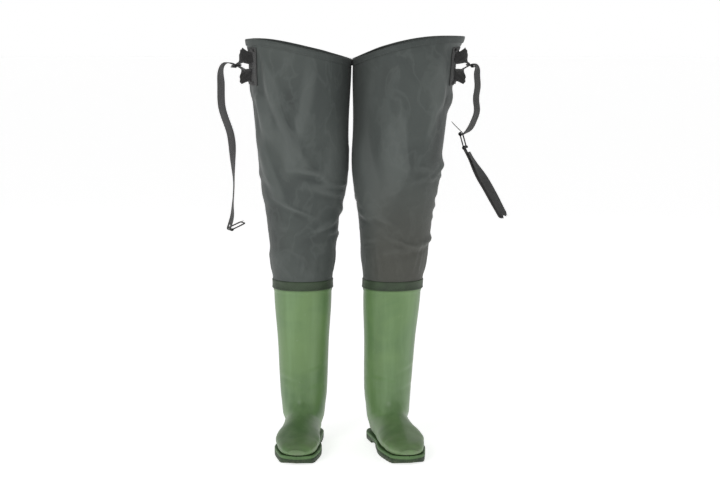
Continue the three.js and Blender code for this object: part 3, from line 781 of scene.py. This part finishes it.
def evenly(path, spacing):
    """The same line with its points an even distance apart."""
    run = np.concatenate([[0], np.cumsum(np.linalg.norm(np.diff(path, axis=0), axis=1))])
    at = np.linspace(0, run[-1], max(int(run[-1] / spacing), 8) + 1)
    return np.stack([np.interp(at, run, path[:, k]) for k in range(path.shape[1])], axis=1)


print({side: hip.origin.round(4).tolist() for side, hip in hips.items()})

# %% [markdown]
# ## Webbing
# Webbing is a narrow, thick weave that bends easily one way only. Each run is a line in the
# hip's plane, drawn out sideways to the webbing's width, given its thickness by Solidify and
# its rounded selvedges by Bevel. Where it wraps the buckle's bar, a slot is punched for the
# prong. A little twist and wave keep it from looking pressed out of sheet.

# %% Webbing along a line
ACROSS = np.linspace(-0.5, 0.5, 13)


def webbing(name, hip, path, width=WEB, sideways=0.0, lift=0.0, twist=0.0, cup=0.0, slot=None,
            thickness=WEB_THICK):
    """A line drawn out to the webbing's width. sideways, lift, twist and cup may each be one
    number for every point of the line: a shift along the width, a shift square to the web,
    a turn about the line in radians, and how far the edges stand above the middle."""
    run = np.concatenate([[0], np.cumsum(np.linalg.norm(np.diff(path, axis=0), axis=1))])
    along = unit(np.gradient(path, axis=0))
    square = np.stack([-along[:, 1], along[:, 0]], axis=1)
    count = len(path)
    lift, twist, cup, sideways, width = (
        np.broadcast_to(v, count)[:, None] for v in (lift, twist, cup, sideways, width))
    w = ACROSS[None] * width
    raised = lift + w * np.sin(twist) + cup * (4 * ACROSS[None] ** 2 - 0.4)
    flat = path[:, None] + square[:, None] * raised[..., None]
    grid = hip.point(flat, sideways + w * np.cos(twist))
    keep = None
    if slot is not None:
        _, at = quads(count, len(ACROSS), False)
        row, column = at[0]
        near = np.abs(path - slot).max(axis=1) < 0.0088
        middle_of = (ACROSS[column] + ACROSS[column + 1]) / 2
        keep = ~(near[row] & (np.abs(middle_of) < 0.15))
    web = surface(name, grid, flat_map(ACROSS * WEB, run), round_columns=False, keep=keep)
    wall(web, thickness, 0)
    round_edges(web, 0.0004)
    pieces[name] = web
    return web


def stitches(name, at, along, out, length=0.0034, radius=0.0004):
    """A row of stitches: at each point a six-sided bar of thread whose ends are drawn in, so
    that each one dives into the cloth."""
    at, along, out = (np.asarray(v, float).reshape(-1, 3) for v in (at, along, out))
    along, out = unit(along), unit(out)
    beside = unit(np.cross(out, along))
    t = np.array([-0.5, -0.32, 0.32, 0.5])[:, None] * length
    r = np.array([0.35, 1, 1, 0.35])[:, None] * radius
    phi = np.linspace(0, 2 * np.pi, 6, endpoint=False)[None]
    local = np.stack(np.broadcast_arrays(t, r * np.cos(phi), r * np.sin(phi)), axis=-1)
    local = local.reshape(-1, 3)[None]
    points = at[:, None] + (local[..., :1] * along[:, None] + local[..., 1:2] * beside[:, None]
                            + local[..., 2:] * out[:, None])
    body, _ = quads(4, 6)
    faces = []
    for first in range(0, len(at) * 24, 24):
        faces += (body + first).tolist()
        faces.append([first + k for k in (5, 4, 3, 2, 1, 0)])
        faces.append([first + 18 + k for k in range(6)])
    thread = make(name, points, faces)
    pieces[name] = thread
    return thread


print("points across a web", len(ACROSS))

# %% Routes and seats
# Millimetres outward and up from the strap's own hinge, in the hip's plane.
ROUTES = {
    "right": [[10, 6.5], [21, 5], [28, -6], [30, -30], [28, -84], [10, -150], [2, -207], [2, -270],
              [5, -318], [14, -350]],
    "left": [[5.5, 1.8], [8.5, -5], [9, -22], [9, -60], [8, -97], [1, -124], [-10, -139],
             [-23, -150]],
}


def seat(side, stance, up):
    """Where webbing lies on the hip patch: outward from the hip's origin, and up."""
    hip = hips[side]
    on_leg = leg_point(stance, np.array(hip_angle(stance)), np.array(HIP_HEIGHT + up))
    return [float((on_leg - hip.origin) @ hip.outward) + 0.0041, up]


print("route points", {side: len(route) for side, route in ROUTES.items()})

# %% Tabs and straps
for side, stance in STANCES.items():
    hip = hips[side]
    lay = [seat(side, stance, up) for up in (0.038, 0.033, 0.028)]
    lay_low = [seat(side, stance, -up) for up in (0.028, 0.033, 0.038)]
    round_bar = arc(TAB_BAR, WRAP, 50, -62, 12)
    upper_rest = flowing([*lay, [(lay[2][0] + round_bar[0][0]) / 2, 0.0150], round_bar[0]], 60)
    below = [(lay_low[0][0] + round_bar[-1][0]) / 2, -0.0085]
    lower_rest = flowing([round_bar[-1], below, *lay_low], 60)
    path = evenly(np.concatenate([upper_rest, round_bar[1:-1], lower_rest]), 0.0012)
    way = np.linspace(-1, 1, len(path))
    away = ease(np.abs(way), 0.12, 0.8)
    skew = stance["side"] * 0.0055 * np.sign(way) * away
    limb = ease(np.abs(way), 0.22, 0.50) * ease(-np.abs(way), -0.93, -0.74)
    width = WEB * (1 + 0.7 * limb * ease(np.abs(way), 0.2, 0.75)) - 0.002 * bell(way / 0.2)
    crumple = 0.0010 * np.sin(31 * way + 1) * limb
    tab = webbing(f"{side}_tab_web", hip, path, width=width, sideways=skew, lift=crumple,
                  twist=stance["side"] * 1.15 * limb, cup=0.0030 * limb)
    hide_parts(f"{side}_hip_tab")
    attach(tab, f"{side}_thigh")

    bar = hip.pivot(f"{side}_ring_swing")
    outer = hip.pivot(f"{side}_strap_swing")
    buckle_bar = hip.pivot(f"{side}_buckle_swing")
    route = np.array(ROUTES[side]) / 1000 + outer
    start = arc(outer, WRAP, 325, 90, 16)
    run = flowing(np.concatenate([start[-1:], route]), 260)[1:]
    arrive = np.degrees(np.arctan2(*(run[-1] - buckle_bar)[::-1]))
    finish_arc = arc(buckle_bar, WRAP, arrive, arrive - 215, 24)[1:]
    path = evenly(np.concatenate([start, run, finish_arc]), 0.0016)
    way = np.linspace(0, 1, len(path))
    middle = ease(way, 0.08, 0.2) * ease(-way, -0.94, -0.8)
    strap = webbing(
        f"{side}_strap_web", hip, path,
        sideways=middle * 0.0035 * np.sin(7 * way + stance["side"]),
        twist=middle * stance["side"] * (0.34 - 0.62 * (stance["side"] < 0) * ease(way, 0.5, 0.75)),
        lift=middle * 0.0012 * np.sin(23 * way),
        cup=middle * 0.0008 * np.sin(11 * way), slot=buckle_bar)
    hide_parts(f"{side}_hip_strap")
    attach(strap, f"{side}_strap")
print("tabs and straps", [name for name in pieces if name.endswith("web")])

# %% The belt loop
far_bar = hips["left"].pivot("left_tail_swing")
TAIL_LENGTH, TAIL_TURN = 0.168, np.radians(300)
half = 0.0025  # half the gap between the loop's two layers
mouth = BAR_ROOM + 0.008
local = np.concatenate([
    arc(np.zeros(2), WRAP, 40, 320, 24),
    flowing([[mouth, -half], [0.05, -half - 0.0012], [0.1, -half + 0.0006],
             [TAIL_LENGTH - half, -half]], 90),
    arc(np.array([TAIL_LENGTH - half, 0]), half, -60, 60, 8),
    flowing([[TAIL_LENGTH - half, half], [0.1, half + 0.0010], [0.05, half - 0.0004],
             [mouth + 0.002, half]], 90),
])
c, s = np.cos(TAIL_TURN), np.sin(TAIL_TURN)
turn = np.array([[c, -s], [s, c]])
path = evenly(local, 0.0014)
out_there = np.clip(path[:, 0] / TAIL_LENGTH, 0, 1)
layer = np.sign(path[:, 1])
loop = webbing(
    "left_loop_web", hips["left"], path @ turn.T + far_bar,
    twist=-layer * 0.52 * ease(out_there, 0.12, 0.5),
    width=WEB * (1 - 0.12 * ease(out_there, 0.7, 1.0)), slot=far_bar)
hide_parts("left_belt_loop")
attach(loop, "left_tail")
print("belt loop points", len(path))

# %% [markdown]
# ## Wire
# The rings and buckles are bent steel wire, coated black. A wire is a circle carried along a
# line that lies in a plane: at each point, two directions square to the line carry the
# circle, and one of them is the plane's own normal, so the circle never spins.

# %% Wire along a line
def wire(name, path, normal, radius_in, radius_out=None, closed=False, count=14):
    """A round or oval section carried along a flat line. normal is square to the line's plane;
    radius_in is the section's radius in the plane, radius_out along the normal."""
    if closed:
        tangent = unit(np.roll(path, -1, axis=0) - np.roll(path, 1, axis=0))
    else:
        tangent = unit(np.gradient(path, axis=0))
    outside = np.broadcast_to(unit(np.asarray(normal, float)), path.shape)
    inside = np.cross(outside, tangent)
    phi = np.linspace(0, 2 * np.pi, count, endpoint=False)[None, :, None]
    r_in = np.broadcast_to(radius_in, len(path))[:, None, None]
    r_out = r_in if radius_out is None else np.broadcast_to(radius_out, len(path))[:, None, None]
    grid = (path[:, None] + r_in * np.cos(phi) * inside[:, None]
            + r_out * np.sin(phi) * outside[:, None])
    girth = 2 * np.pi * float(np.mean(r_in))
    step = np.linalg.norm(np.diff(path, axis=0), axis=1).mean()
    uv = flat_map(np.linspace(0, girth, count + 1), np.arange(len(path) + 1) * step)
    if closed:
        thing = surface(name, grid, uv, round_rows=True)
    else:
        thing = capped(name, grid, uv)
    pieces[name] = thing
    return thing


def frame_line(hip, bar, length, degrees):
    """The middle of a frame's wire: a rectangle with rounded corners, whose first bar is on the
    hinge and whose second is a length away in the given direction."""
    side_arm = WEB / 2 + 0.0015 + WIRE / 2
    corner = 0.0036
    angles = np.radians(np.linspace(0, 90, 9))
    quarter = corner * np.stack([np.cos(angles), np.sin(angles)], axis=1)
    corners, ends = [], [(length, side_arm), (0, side_arm), (0, -side_arm), (length, -side_arm)]
    for k, (x, y) in enumerate(ends):
        c, s = np.cos(k * np.pi / 2), np.sin(k * np.pi / 2)
        inset = np.array([x + (corner if x == 0 else -corner), y - np.sign(y) * corner])
        corners.append(inset + quarter @ np.array([[c, s], [-s, c]]))
    loop = np.concatenate(corners)
    loop = evenly(np.concatenate([loop, loop[:1]]), 0.0011)[:-1]
    turn = np.radians(degrees)
    direction = np.array([np.cos(turn), np.sin(turn)])
    line = hip.point(bar + loop[:, :1] * direction, loop[:, 1])
    upward = hip.placed_from(np.array([-direction[1], direction[0]]))
    return line, upward


def prong_line(hip, bar, degrees):
    """The middle of the prong: most of a turn round the bar, then a tongue that lies under the
    frame and reaches over its far bar."""
    eye = 0.0034
    line = np.concatenate([
        arc(np.zeros(2), eye, 20, 232, 30),
        flowing([[-0.0012, -0.0033], [0.0015, -0.0032], [0.012, -0.0031], [0.026, -0.0029],
                 [BUCKLE_LENGTH + 0.0028, -0.0031]], 60)])
    line = evenly(line, 0.0007)
    turn = np.radians(degrees)
    turned = line @ np.array([[np.cos(turn), np.sin(turn)], [-np.sin(turn), np.cos(turn)]])
    return hip.point(bar + turned), hip.sideways, line


# Degrees: the way each buckle points in its plane, and how far its prong stands open.
BUCKLES = {"right": (157, 0), "left": (286, 151)}
WIRE_RADIUS = WIRE / 2 * 0.97
for side in STANCES:
    hip = hips[side]
    line, normal = frame_line(hip, hip.pivot(f"{side}_ring_swing"), RING_LENGTH, -8)
    ring = wire(f"{side}_ring_wire", line, normal, WIRE_RADIUS, closed=True)
    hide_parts(f"{side}_hip_ring")
    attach(ring, f"{side}_ring")
    turned, opened = BUCKLES[side]
    bar = hip.pivot(f"{side}_buckle_swing")
    line, normal = frame_line(hip, bar, BUCKLE_LENGTH, turned)
    buckle = wire(f"{side}_buckle_wire", line, normal, WIRE_RADIUS, closed=True)
    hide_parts(f"{side}_buckle_frame")
    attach(buckle, f"{side}_buckle")
    line, normal, flat = prong_line(hip, bar, turned - opened)
    reach = ease(flat[:, 0], BUCKLE_LENGTH - 0.004, BUCKLE_LENGTH + 0.0028)
    prong = wire(f"{side}_prong_wire", line, normal, 0.00085 * (1 - 0.35 * reach),
                 0.0021 * (1 - 0.35 * reach), count=16)
    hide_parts(f"{side}_buckle_prong")
    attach(prong, f"{side}_prong")
print("wire pieces", [name for name in pieces if name.endswith("wire")])

# %% [markdown]
# ## Hip patch and stitching
# The patch spreads the strap's pull over the thin cloth. It is webbing too, sewn to the leg
# by a row of thread all the way round. The hem has two rows of its own.

# %% Patch and every row of stitches
PATCH_WIDTH, PATCH_HEIGHT = 0.046, 0.082
SEWN_IN = 0.0035  # from the patch's edge to its row of stitches


def on_patch(stance, across, up, out):
    """A point of the patch: across it in metres, up from its middle, and out from the leg."""
    radius = (smooth(LEG_ROWS, HIP_HEIGHT, 1) + smooth(LEG_ROWS, HIP_HEIGHT, 2)) / 4
    angle = hip_angle(stance) + np.asarray(across) / radius
    return leg_point(stance, angle, HIP_HEIGHT + np.asarray(up), out)


def outward_of(side, points):
    """The hip's outward direction at every point of a line."""
    return np.broadcast_to(hips[side].outward, points.shape)


for side, stance in STANCES.items():
    u = np.linspace(-PATCH_WIDTH / 2, PATCH_WIDTH / 2, 25)
    v = np.linspace(-PATCH_HEIGHT / 2, PATCH_HEIGHT / 2, 42)
    rounded = 1 - 0.06 * np.abs(v[:, None] / v[-1]) ** 12
    grid = on_patch(stance, u[None] * rounded, v[:, None], 0.0023)
    patch = surface(f"{side}_patch", grid, flat_map(u, v), round_columns=False)
    wall(patch, 0.0015)
    round_edges(patch, 0.0004)
    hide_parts(f"{side}_hip_patch")
    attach(patch, f"{side}_thigh")
    pieces[patch.name] = patch

    w, h = PATCH_WIDTH / 2 - SEWN_IN, PATCH_HEIGHT / 2 - SEWN_IN
    box_line = np.array([[-w, -h], [w, -h], [w, h], [-w, h], [-w, -h]])
    places = evenly(box_line, 0.0044)
    line = on_patch(stance, places[:, 0], places[:, 1], 0.0024)
    step = np.roll(line, -1, axis=0) - line
    sewn = stitches(f"{side}_patch_thread", line, step, outward_of(side, line))
    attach(sewn, f"{side}_thigh")

    fine = np.linspace(0, 2 * np.pi, 170, endpoint=False)
    rows = []
    for drop in (0.0035, 0.0112):
        z = top_edge(stance, fine) - drop
        line = leg_point(stance, fine, z, 0.0017)
        leg_out = leg_point(stance, fine, z, 0.0117) - line
        rows.append((line, np.roll(line, -1, axis=0) - line, leg_out))
    both = [np.concatenate(part) for part in zip(*rows)]
    sewn = stitches(f"{side}_hem_thread", *both, length=0.0030)
    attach(sewn, f"{side}_thigh")
print("stitches round a hem", len(both[0]))

# %% [markdown]
# ## Writing a finish as sums
# A material is a small calculation made at every point of a surface. Adding Math nodes by
# hand is slow to read, so one class stands for a number on the surface and lets Python's own
# + - * / build the nodes. Colours and vectors stay in Mix and Vector Math nodes, because a
# Math node would turn a colour grey.

# %% Numbers on a surface
class Amount:
    """A socket that holds a number on the surface; its operators add Math nodes."""

    def __init__(self, finish, socket):
        self.finish, self.socket = finish, socket

    def maths(self, operation, *others):
        return self.finish.add("Math", {"operation": operation}, dict(enumerate((self, *others))))

    def __add__(self, other):
        return self.maths("ADD", other)

    def __mul__(self, other):
        return self.maths("MULTIPLY", other)

    def __sub__(self, other):
        return self.maths("SUBTRACT", other)

    def __rsub__(self, other):
        return self.finish.add("Math", {"operation": "SUBTRACT"}, {0: other, 1: self})

    __radd__, __rmul__ = __add__, __mul__

    def between(self, low, high):
        """0 below low, 1 above high, and a smooth step between."""
        return self.finish.add("MapRange", {"interpolation_type": "SMOOTHSTEP"},
                               {"Value": self, "From Min": low, "From Max": high})


def linear(code):
    """A colour code such as 4d5250 as the linear light that a shader works in."""
    value = np.array([int(code[i:i + 2], 16) for i in (0, 2, 4)]) / 255
    light = np.where(value <= 0.04045, value / 12.92, ((value + 0.055) / 1.055) ** 2.4)
    return (*light.tolist(), 1.0)


class Finish:
    """A material, and the one method that adds any node to it."""

    def __init__(self, name):
        self.material = bpy.data.materials.new(name)
        self.material.use_nodes = True
        self.tree = self.material.node_tree
        self.tree.nodes.clear()
        self.place = self.add("TexCoord", output="Object")
        self.map = self.add("TexCoord", output="UV")

    def add(self, kind, settings=None, values=None, output=0):
        """A node of a kind: its settings first, then numbers, colours or links for its
        sockets by name or place. It gives the socket named by output."""
        node = self.tree.nodes.new("ShaderNode" + kind)
        for key, value in (settings or {}).items():
            setattr(node, key, value)
        for key, value in (values or {}).items():
            socket = node.inputs[key]
            if isinstance(value, Amount):
                self.tree.links.new(value.socket, socket)
            else:
                socket.default_value = value
        return Amount(self, node.outputs[output])

    def noise(self, scale, detail=3.0, at=None, roughness=0.55, distortion=0.0):
        """A cloudy value round 0.5, which changes over about one part in scale of a metre."""
        return self.add("TexNoise", None, {
            "Vector": at or self.place, "Scale": scale, "Detail": detail,
            "Roughness": roughness, "Distortion": distortion})

    def stretched(self, at, x, y, z=1.0):
        """The same coordinates, longer or shorter along each direction."""
        return self.add("VectorMath", {"operation": "MULTIPLY"}, {0: at, 1: (x, y, z)})

    def mix(self, factor, first, second):
        """One colour turning into another."""
        first, second = (linear(c) if isinstance(c, str) else c for c in (first, second))
        return self.add("Mix", {"data_type": "RGBA"}, {0: factor, 6: first, 7: second}, output=2)

    def wave(self, coordinate, pitch):
        """A row of ridges a pitch apart, from 0 to 1: half of 1 plus the sine."""
        return (coordinate * (2 * np.pi / pitch)).maths("SINE") * 0.5 + 0.5

    def split(self, vector):
        """The x, y and z of a vector."""
        node = self.tree.nodes.new("ShaderNodeSeparateXYZ")
        self.tree.links.new(vector.socket, node.inputs[0])
        return [Amount(self, out) for out in node.outputs]

    def attribute(self, name):
        """A value stored on the piece's points."""
        return self.add("Attribute", {"attribute_name": name}, output="Fac")

    def done(self, colour, roughness, height=None, depth=0.001, strength=1.0, **constant):
        """The shader at the end. height is carved to depth in metres by a Bump node, and
        constant values go on the shader's own sockets."""
        values = {"Base Color": colour, "Roughness": roughness}
        if height is not None:
            carve = {"Height": height, "Distance": depth, "Strength": strength}
            values["Normal"] = self.add("Bump", None, carve)
        for key, value in constant.items():
            values[key.replace("_", " ").title().replace("Ior", "IOR")] = value
        shader = self.add("BsdfPrincipled", None, values)
        out = self.tree.nodes.new("ShaderNodeOutputMaterial")
        self.tree.links.new(shader.socket, out.inputs["Surface"])
        return self.material


print("leg grey as light", [round(c, 3) for c in linear("4d5250")[:3]])

# %% [markdown]
# ## Boot PVC and sole
# Moulded PVC is one colour right through, but it never looks flat: the skin has a faint
# orange peel, rubbed places are duller and paler, dust settles low down, and the pigment
# swirls a little. Its gloss is a thin clear coat over a duller body.

# %% PVC finishes
def boot_pvc():
    """Swirled green with upright streaks of painted highlight, dust low down and scuffs,
    under a faint peel.
    """
    f = Finish("boot_pvc")
    _, _, z = f.split(f.place)
    swirl = f.noise(7, 4, distortion=0.6)
    painted_highlight_streak = f.noise(1, 4, f.stretched(f.place, 34, 34, 4))
    colour = f.mix(swirl.between(0.3, 0.7), "56764a", "6b8a55")
    # Painted highlight: paler upright streaks stand in for the soft glare down the glossy shaft.
    colour = f.mix(painted_highlight_streak.between(0.35, 0.75) * 0.5, colour, linear("7d9c6c"))
    low = 1 - z.between(0.018, 0.075)
    colour = f.mix(low * f.noise(40, 4).between(0.3, 0.75) * 0.55, colour, linear("77806a"))
    scuff = f.noise(1, 5, f.stretched(f.place, 60, 22, 60), 0.7).between(0.62, 0.72)
    colour = f.mix(scuff * 0.35, colour, linear("8a9c7c"))
    peel = f.noise(420, 2) * 0.6 + f.noise(90, 3) * 0.8
    rough = 0.40 + scuff * 0.22 + low * 0.16 + swirl * 0.08
    return f.done(colour, rough, peel, 0.00035, 0.35, coat_weight=0.18, coat_roughness=0.28,
                  specular_ior_level=0.45)


def sole_pvc():
    """Dark below the line round the side and green above it, with dust near the floor."""
    f = Finish("sole_pvc")
    _, _, z = f.split(f.place)
    swirl = f.noise(30, 4).between(0.3, 0.7)
    foxing = z.between(0.0109, 0.0115)
    colour = f.mix(foxing, f.mix(swirl, "1b2e16", "28401f"), f.mix(swirl, "4a6a3c", "587a49"))
    dust = f.noise(120, 4, roughness=0.7).between(0.45, 0.7) * (1 - z.between(0.0, 0.018))
    colour = f.mix(dust * 0.6, colour, linear("71705f"))
    grain = f.noise(900, 2) + f.noise(160, 3)
    return f.done(colour, 0.58 + dust * 0.25, grain, 0.0004, 0.4)


print("boot green as light", [round(c, 3) for c in linear("56764a")[:3]])

# %% [markdown]
# ## Cloth finishes
# The leg is polyester with a rubbery coat: fine yarns show through as a weave, the coat
# gives a dull satin, and each crease that was ever sharp stays paler along its crest. The
# fold values stored on the points say where crests and hollows are, and the hollows are
# darkened with painted shade. The weave follows the UV map, whose unit is a metre, so a
# yarn keeps its size on every piece.

# %% Woven surfaces
def weave(f, pitch):
    """Over and under yarns: one set of ridges where the other dips, by the product of two
    rows of ridges."""
    u, v, _ = f.split(f.map)
    over, up = f.wave(u, pitch), f.wave(v, pitch)
    return over * up + (1 - over) * (1 - up)


def coated_cloth(name, deep, plain, worn, fine=1.0):
    """Blotched cloth: crests paler by the fold value and hollows darkened by it as painted shade,
    fine creases from the middle level of a noise, a brown cast low on the left leg and painted
    shade between the thighs."""
    f = Finish(name)
    fold = f.attribute("fold")
    x, _, z = f.split(f.place)
    blotch = f.noise(5, 4, distortion=0.8)
    crinkle = f.noise(1, 4, f.stretched(f.place, 17, 17, 11), 0.5, 0.5)
    ridge = 1 - (crinkle * 2 - 1).maths("ABSOLUTE")
    colour = f.mix(blotch.between(0.32, 0.68), deep, plain)
    colour = f.mix(fold.between(0.0006, 0.0035) * 0.45, colour, linear(worn))
    # Painted shade: the hollows of the folds are darkened by the fold value.
    colour = f.mix((1 - fold.between(-0.0030, -0.0003)) * 0.35, colour, linear("2b2d2b"))
    colour = f.mix(ridge.between(0.9, 1.0) * 0.22 * fine, colour, linear(worn))
    sunned = x.between(-0.02, 0.05) * (1 - z.between(0.38, 0.66))
    colour = f.mix(sunned * 0.6, colour, linear("4b483f"))
    # Painted shade: the inner sides of the thighs, near where the legs meet, are darkened.
    painted_shade_between_thighs = (1 - (x + 0.005).maths("ABSOLUTE").between(0.0, 0.075)) * z.between(0.5, 0.7)
    colour = f.mix(painted_shade_between_thighs * 0.55, colour, linear("2a2e2c"))
    yarn = weave(f, 0.0011)
    colour = f.mix((1 - yarn) * 0.18, colour, linear("2f3231"))
    height = yarn * 0.08 + ridge.between(0.4, 1.0) * 1.2 * fine + f.noise(160, 3) * 0.25
    rough = 0.60 + blotch * 0.14 - fold.between(0, 0.004) * 0.08
    return f.done(colour, rough, height, 0.0011, 0.55, sheen_weight=0.10, sheen_roughness=0.5,
                  specular_ior_level=0.4)


def inside_cloth():
    """The uncoated back of the cloth: paler, matt and woven."""
    f = Finish("leg_inside")
    colour = f.mix(f.noise(14, 4).between(0.3, 0.7), "5b5e59", "6f726b")
    yarn = weave(f, 0.0011)
    return f.done(f.mix((1 - yarn) * 0.25, colour, linear("41443f")), 0.86, yarn, 0.0004, 0.5)


def weld_finish():
    """Dark green band with a pressed lattice."""
    f = Finish("weld_band")
    colour = f.mix(f.noise(22, 4).between(0.3, 0.7), "232e1f", "35462f")
    pressed = weave(f, 0.0036)
    colour = f.mix(pressed.between(0.35, 0.8) * 0.35, colour, linear("4c6243"))
    height = pressed + f.noise(300, 2) * 0.4
    return f.done(colour, 0.48 + f.noise(60, 3) * 0.15, height, 0.0006, 0.6)


def webbing_finish(name, dark, light):
    """Webbing: ribs across the run, each crossed by slanted picks, fuzzed and greyed where it
    rubs."""
    f = Finish(name)
    u, v, _ = f.split(f.map)
    rib = f.wave(v + u.maths("ABSOLUTE") * 0.9, 0.0019)
    cord = f.wave(u, 0.0024)
    height = rib * (0.45 + cord * 0.55)
    fuzz = f.noise(700, 3)
    edge = u.maths("ABSOLUTE").between(0.0095, 0.0125)
    colour = f.mix(height.between(0.15, 0.85), dark, light)
    colour = f.mix(edge * fuzz.between(0.35, 0.7) * 0.5, colour, linear("565654"))
    return f.done(colour, 0.86 + fuzz * 0.1, height + fuzz * 0.25, 0.0009, 0.8, sheen_weight=0.2,
                  sheen_roughness=0.6)


def metal(name, scale, low, high, dark, light, rough, more, metallic):
    """Metal that is lighter and duller in small worn spots, where a noise passes low."""
    f = Finish(name)
    worn = f.noise(scale, 4, roughness=0.7).between(low, high)
    return f.done(f.mix(worn, dark, light), rough + worn * more, f.noise(900, 2), 0.0002, 0.3,
                  metallic=metallic)


def felt_finish(name, dark, light, scale):
    """Felt or knit: soft clumps of fibre under fine fuzz."""
    f = Finish(name)
    clump = f.noise(scale, 5, roughness=0.7)
    colour = f.mix(clump.between(0.3, 0.7), dark, light)
    return f.done(colour, 0.95, clump + f.noise(scale * 6, 2), 0.0012, 0.7)


def thread_finish(name, dark, light):
    """Thread: two shades and a bump from one very fine noise."""
    f = Finish(name)
    twist = f.noise(2600, 2)
    return f.done(f.mix(twist.between(0.35, 0.65), dark, light), 0.8, twist, 0.0002, 0.5)


# %% Every piece gets its finish
FINISHES = {
    "boot_shell": boot_pvc(),
    "sole": sole_pvc(),
    "insole_pad": felt_finish("insole_felt", "55554f", "77776f", 180),
    "knit_lining": felt_finish("lining_knit", "6f6f66", "94948a", 300),
    "leg": coated_cloth("leg_cloth", "3e4442", "4b514e", "606663"),
    "seam_tape": coated_cloth("tape_cloth", "393e3c", "454a48", "575c5a", 0.5),
    "hem": coated_cloth("hem_cloth", "3c4240", "494f4c", "5d6360", 0.6),
    "weld_band": weld_finish(),
    "patch": webbing_finish("patch_webbing", "222322", "414241"),
    "tab_web": webbing_finish("strap_webbing", "191919", "343433"),
    "prong_wire": metal("prong_metal", 300, 0.45, 0.62, "5a5a57", "a9a9a4", 0.34, 0.14, 0.9),
    "ring_wire": metal("black_wire", 260, 0.56, 0.66, "1d1d1d", "8b8b86", 0.36, 0.12, 0.85),
    "patch_thread": thread_finish("patch_thread", "2a2a29", "4a4a48"),
    "hem_thread": thread_finish("hem_thread", "3c403e", "5c605e"),
}
FINISHES.update(strap_web=FINISHES["tab_web"], loop_web=FINISHES["tab_web"],
                buckle_wire=FINISHES["ring_wire"])
for name, piece in pieces.items():
    piece.data.materials.append(FINISHES[name.partition("_")[2]])
lining_of_leg = inside_cloth()
for side in STANCES:
    pieces[f"{side}_leg"].data.materials.append(lining_of_leg)
print("finishes", len(FINISHES))

# %% [markdown]
# ## Floor
# A plain white floor, large enough that its edge is never seen, catches the soft shadows
# that tell the eye the waders stand on something. It glows a little, as a lit acrylic table
# does, so that it meets the white room without a line.

# %% Floor, sizes and the end
FLOOR_RADIUS = 40
rim = FLOOR_RADIUS * np.stack([np.cos(turns), np.sin(turns), 0 * turns], axis=1)
floor = make("floor", np.concatenate([rim, [[0, 0, 0]]]),
             [[k, (k + 1) % ROUND, ROUND] for k in range(ROUND)])
paint = Finish("floor_paint")
white = paint.mix(paint.noise(3, 2), (0.88, 0.88, 0.88, 1), (0.90, 0.90, 0.90, 1))
floor.data.materials.append(
    paint.done(white, 0.8, emission_color=(1, 1, 1, 1), emission_strength=0.70))
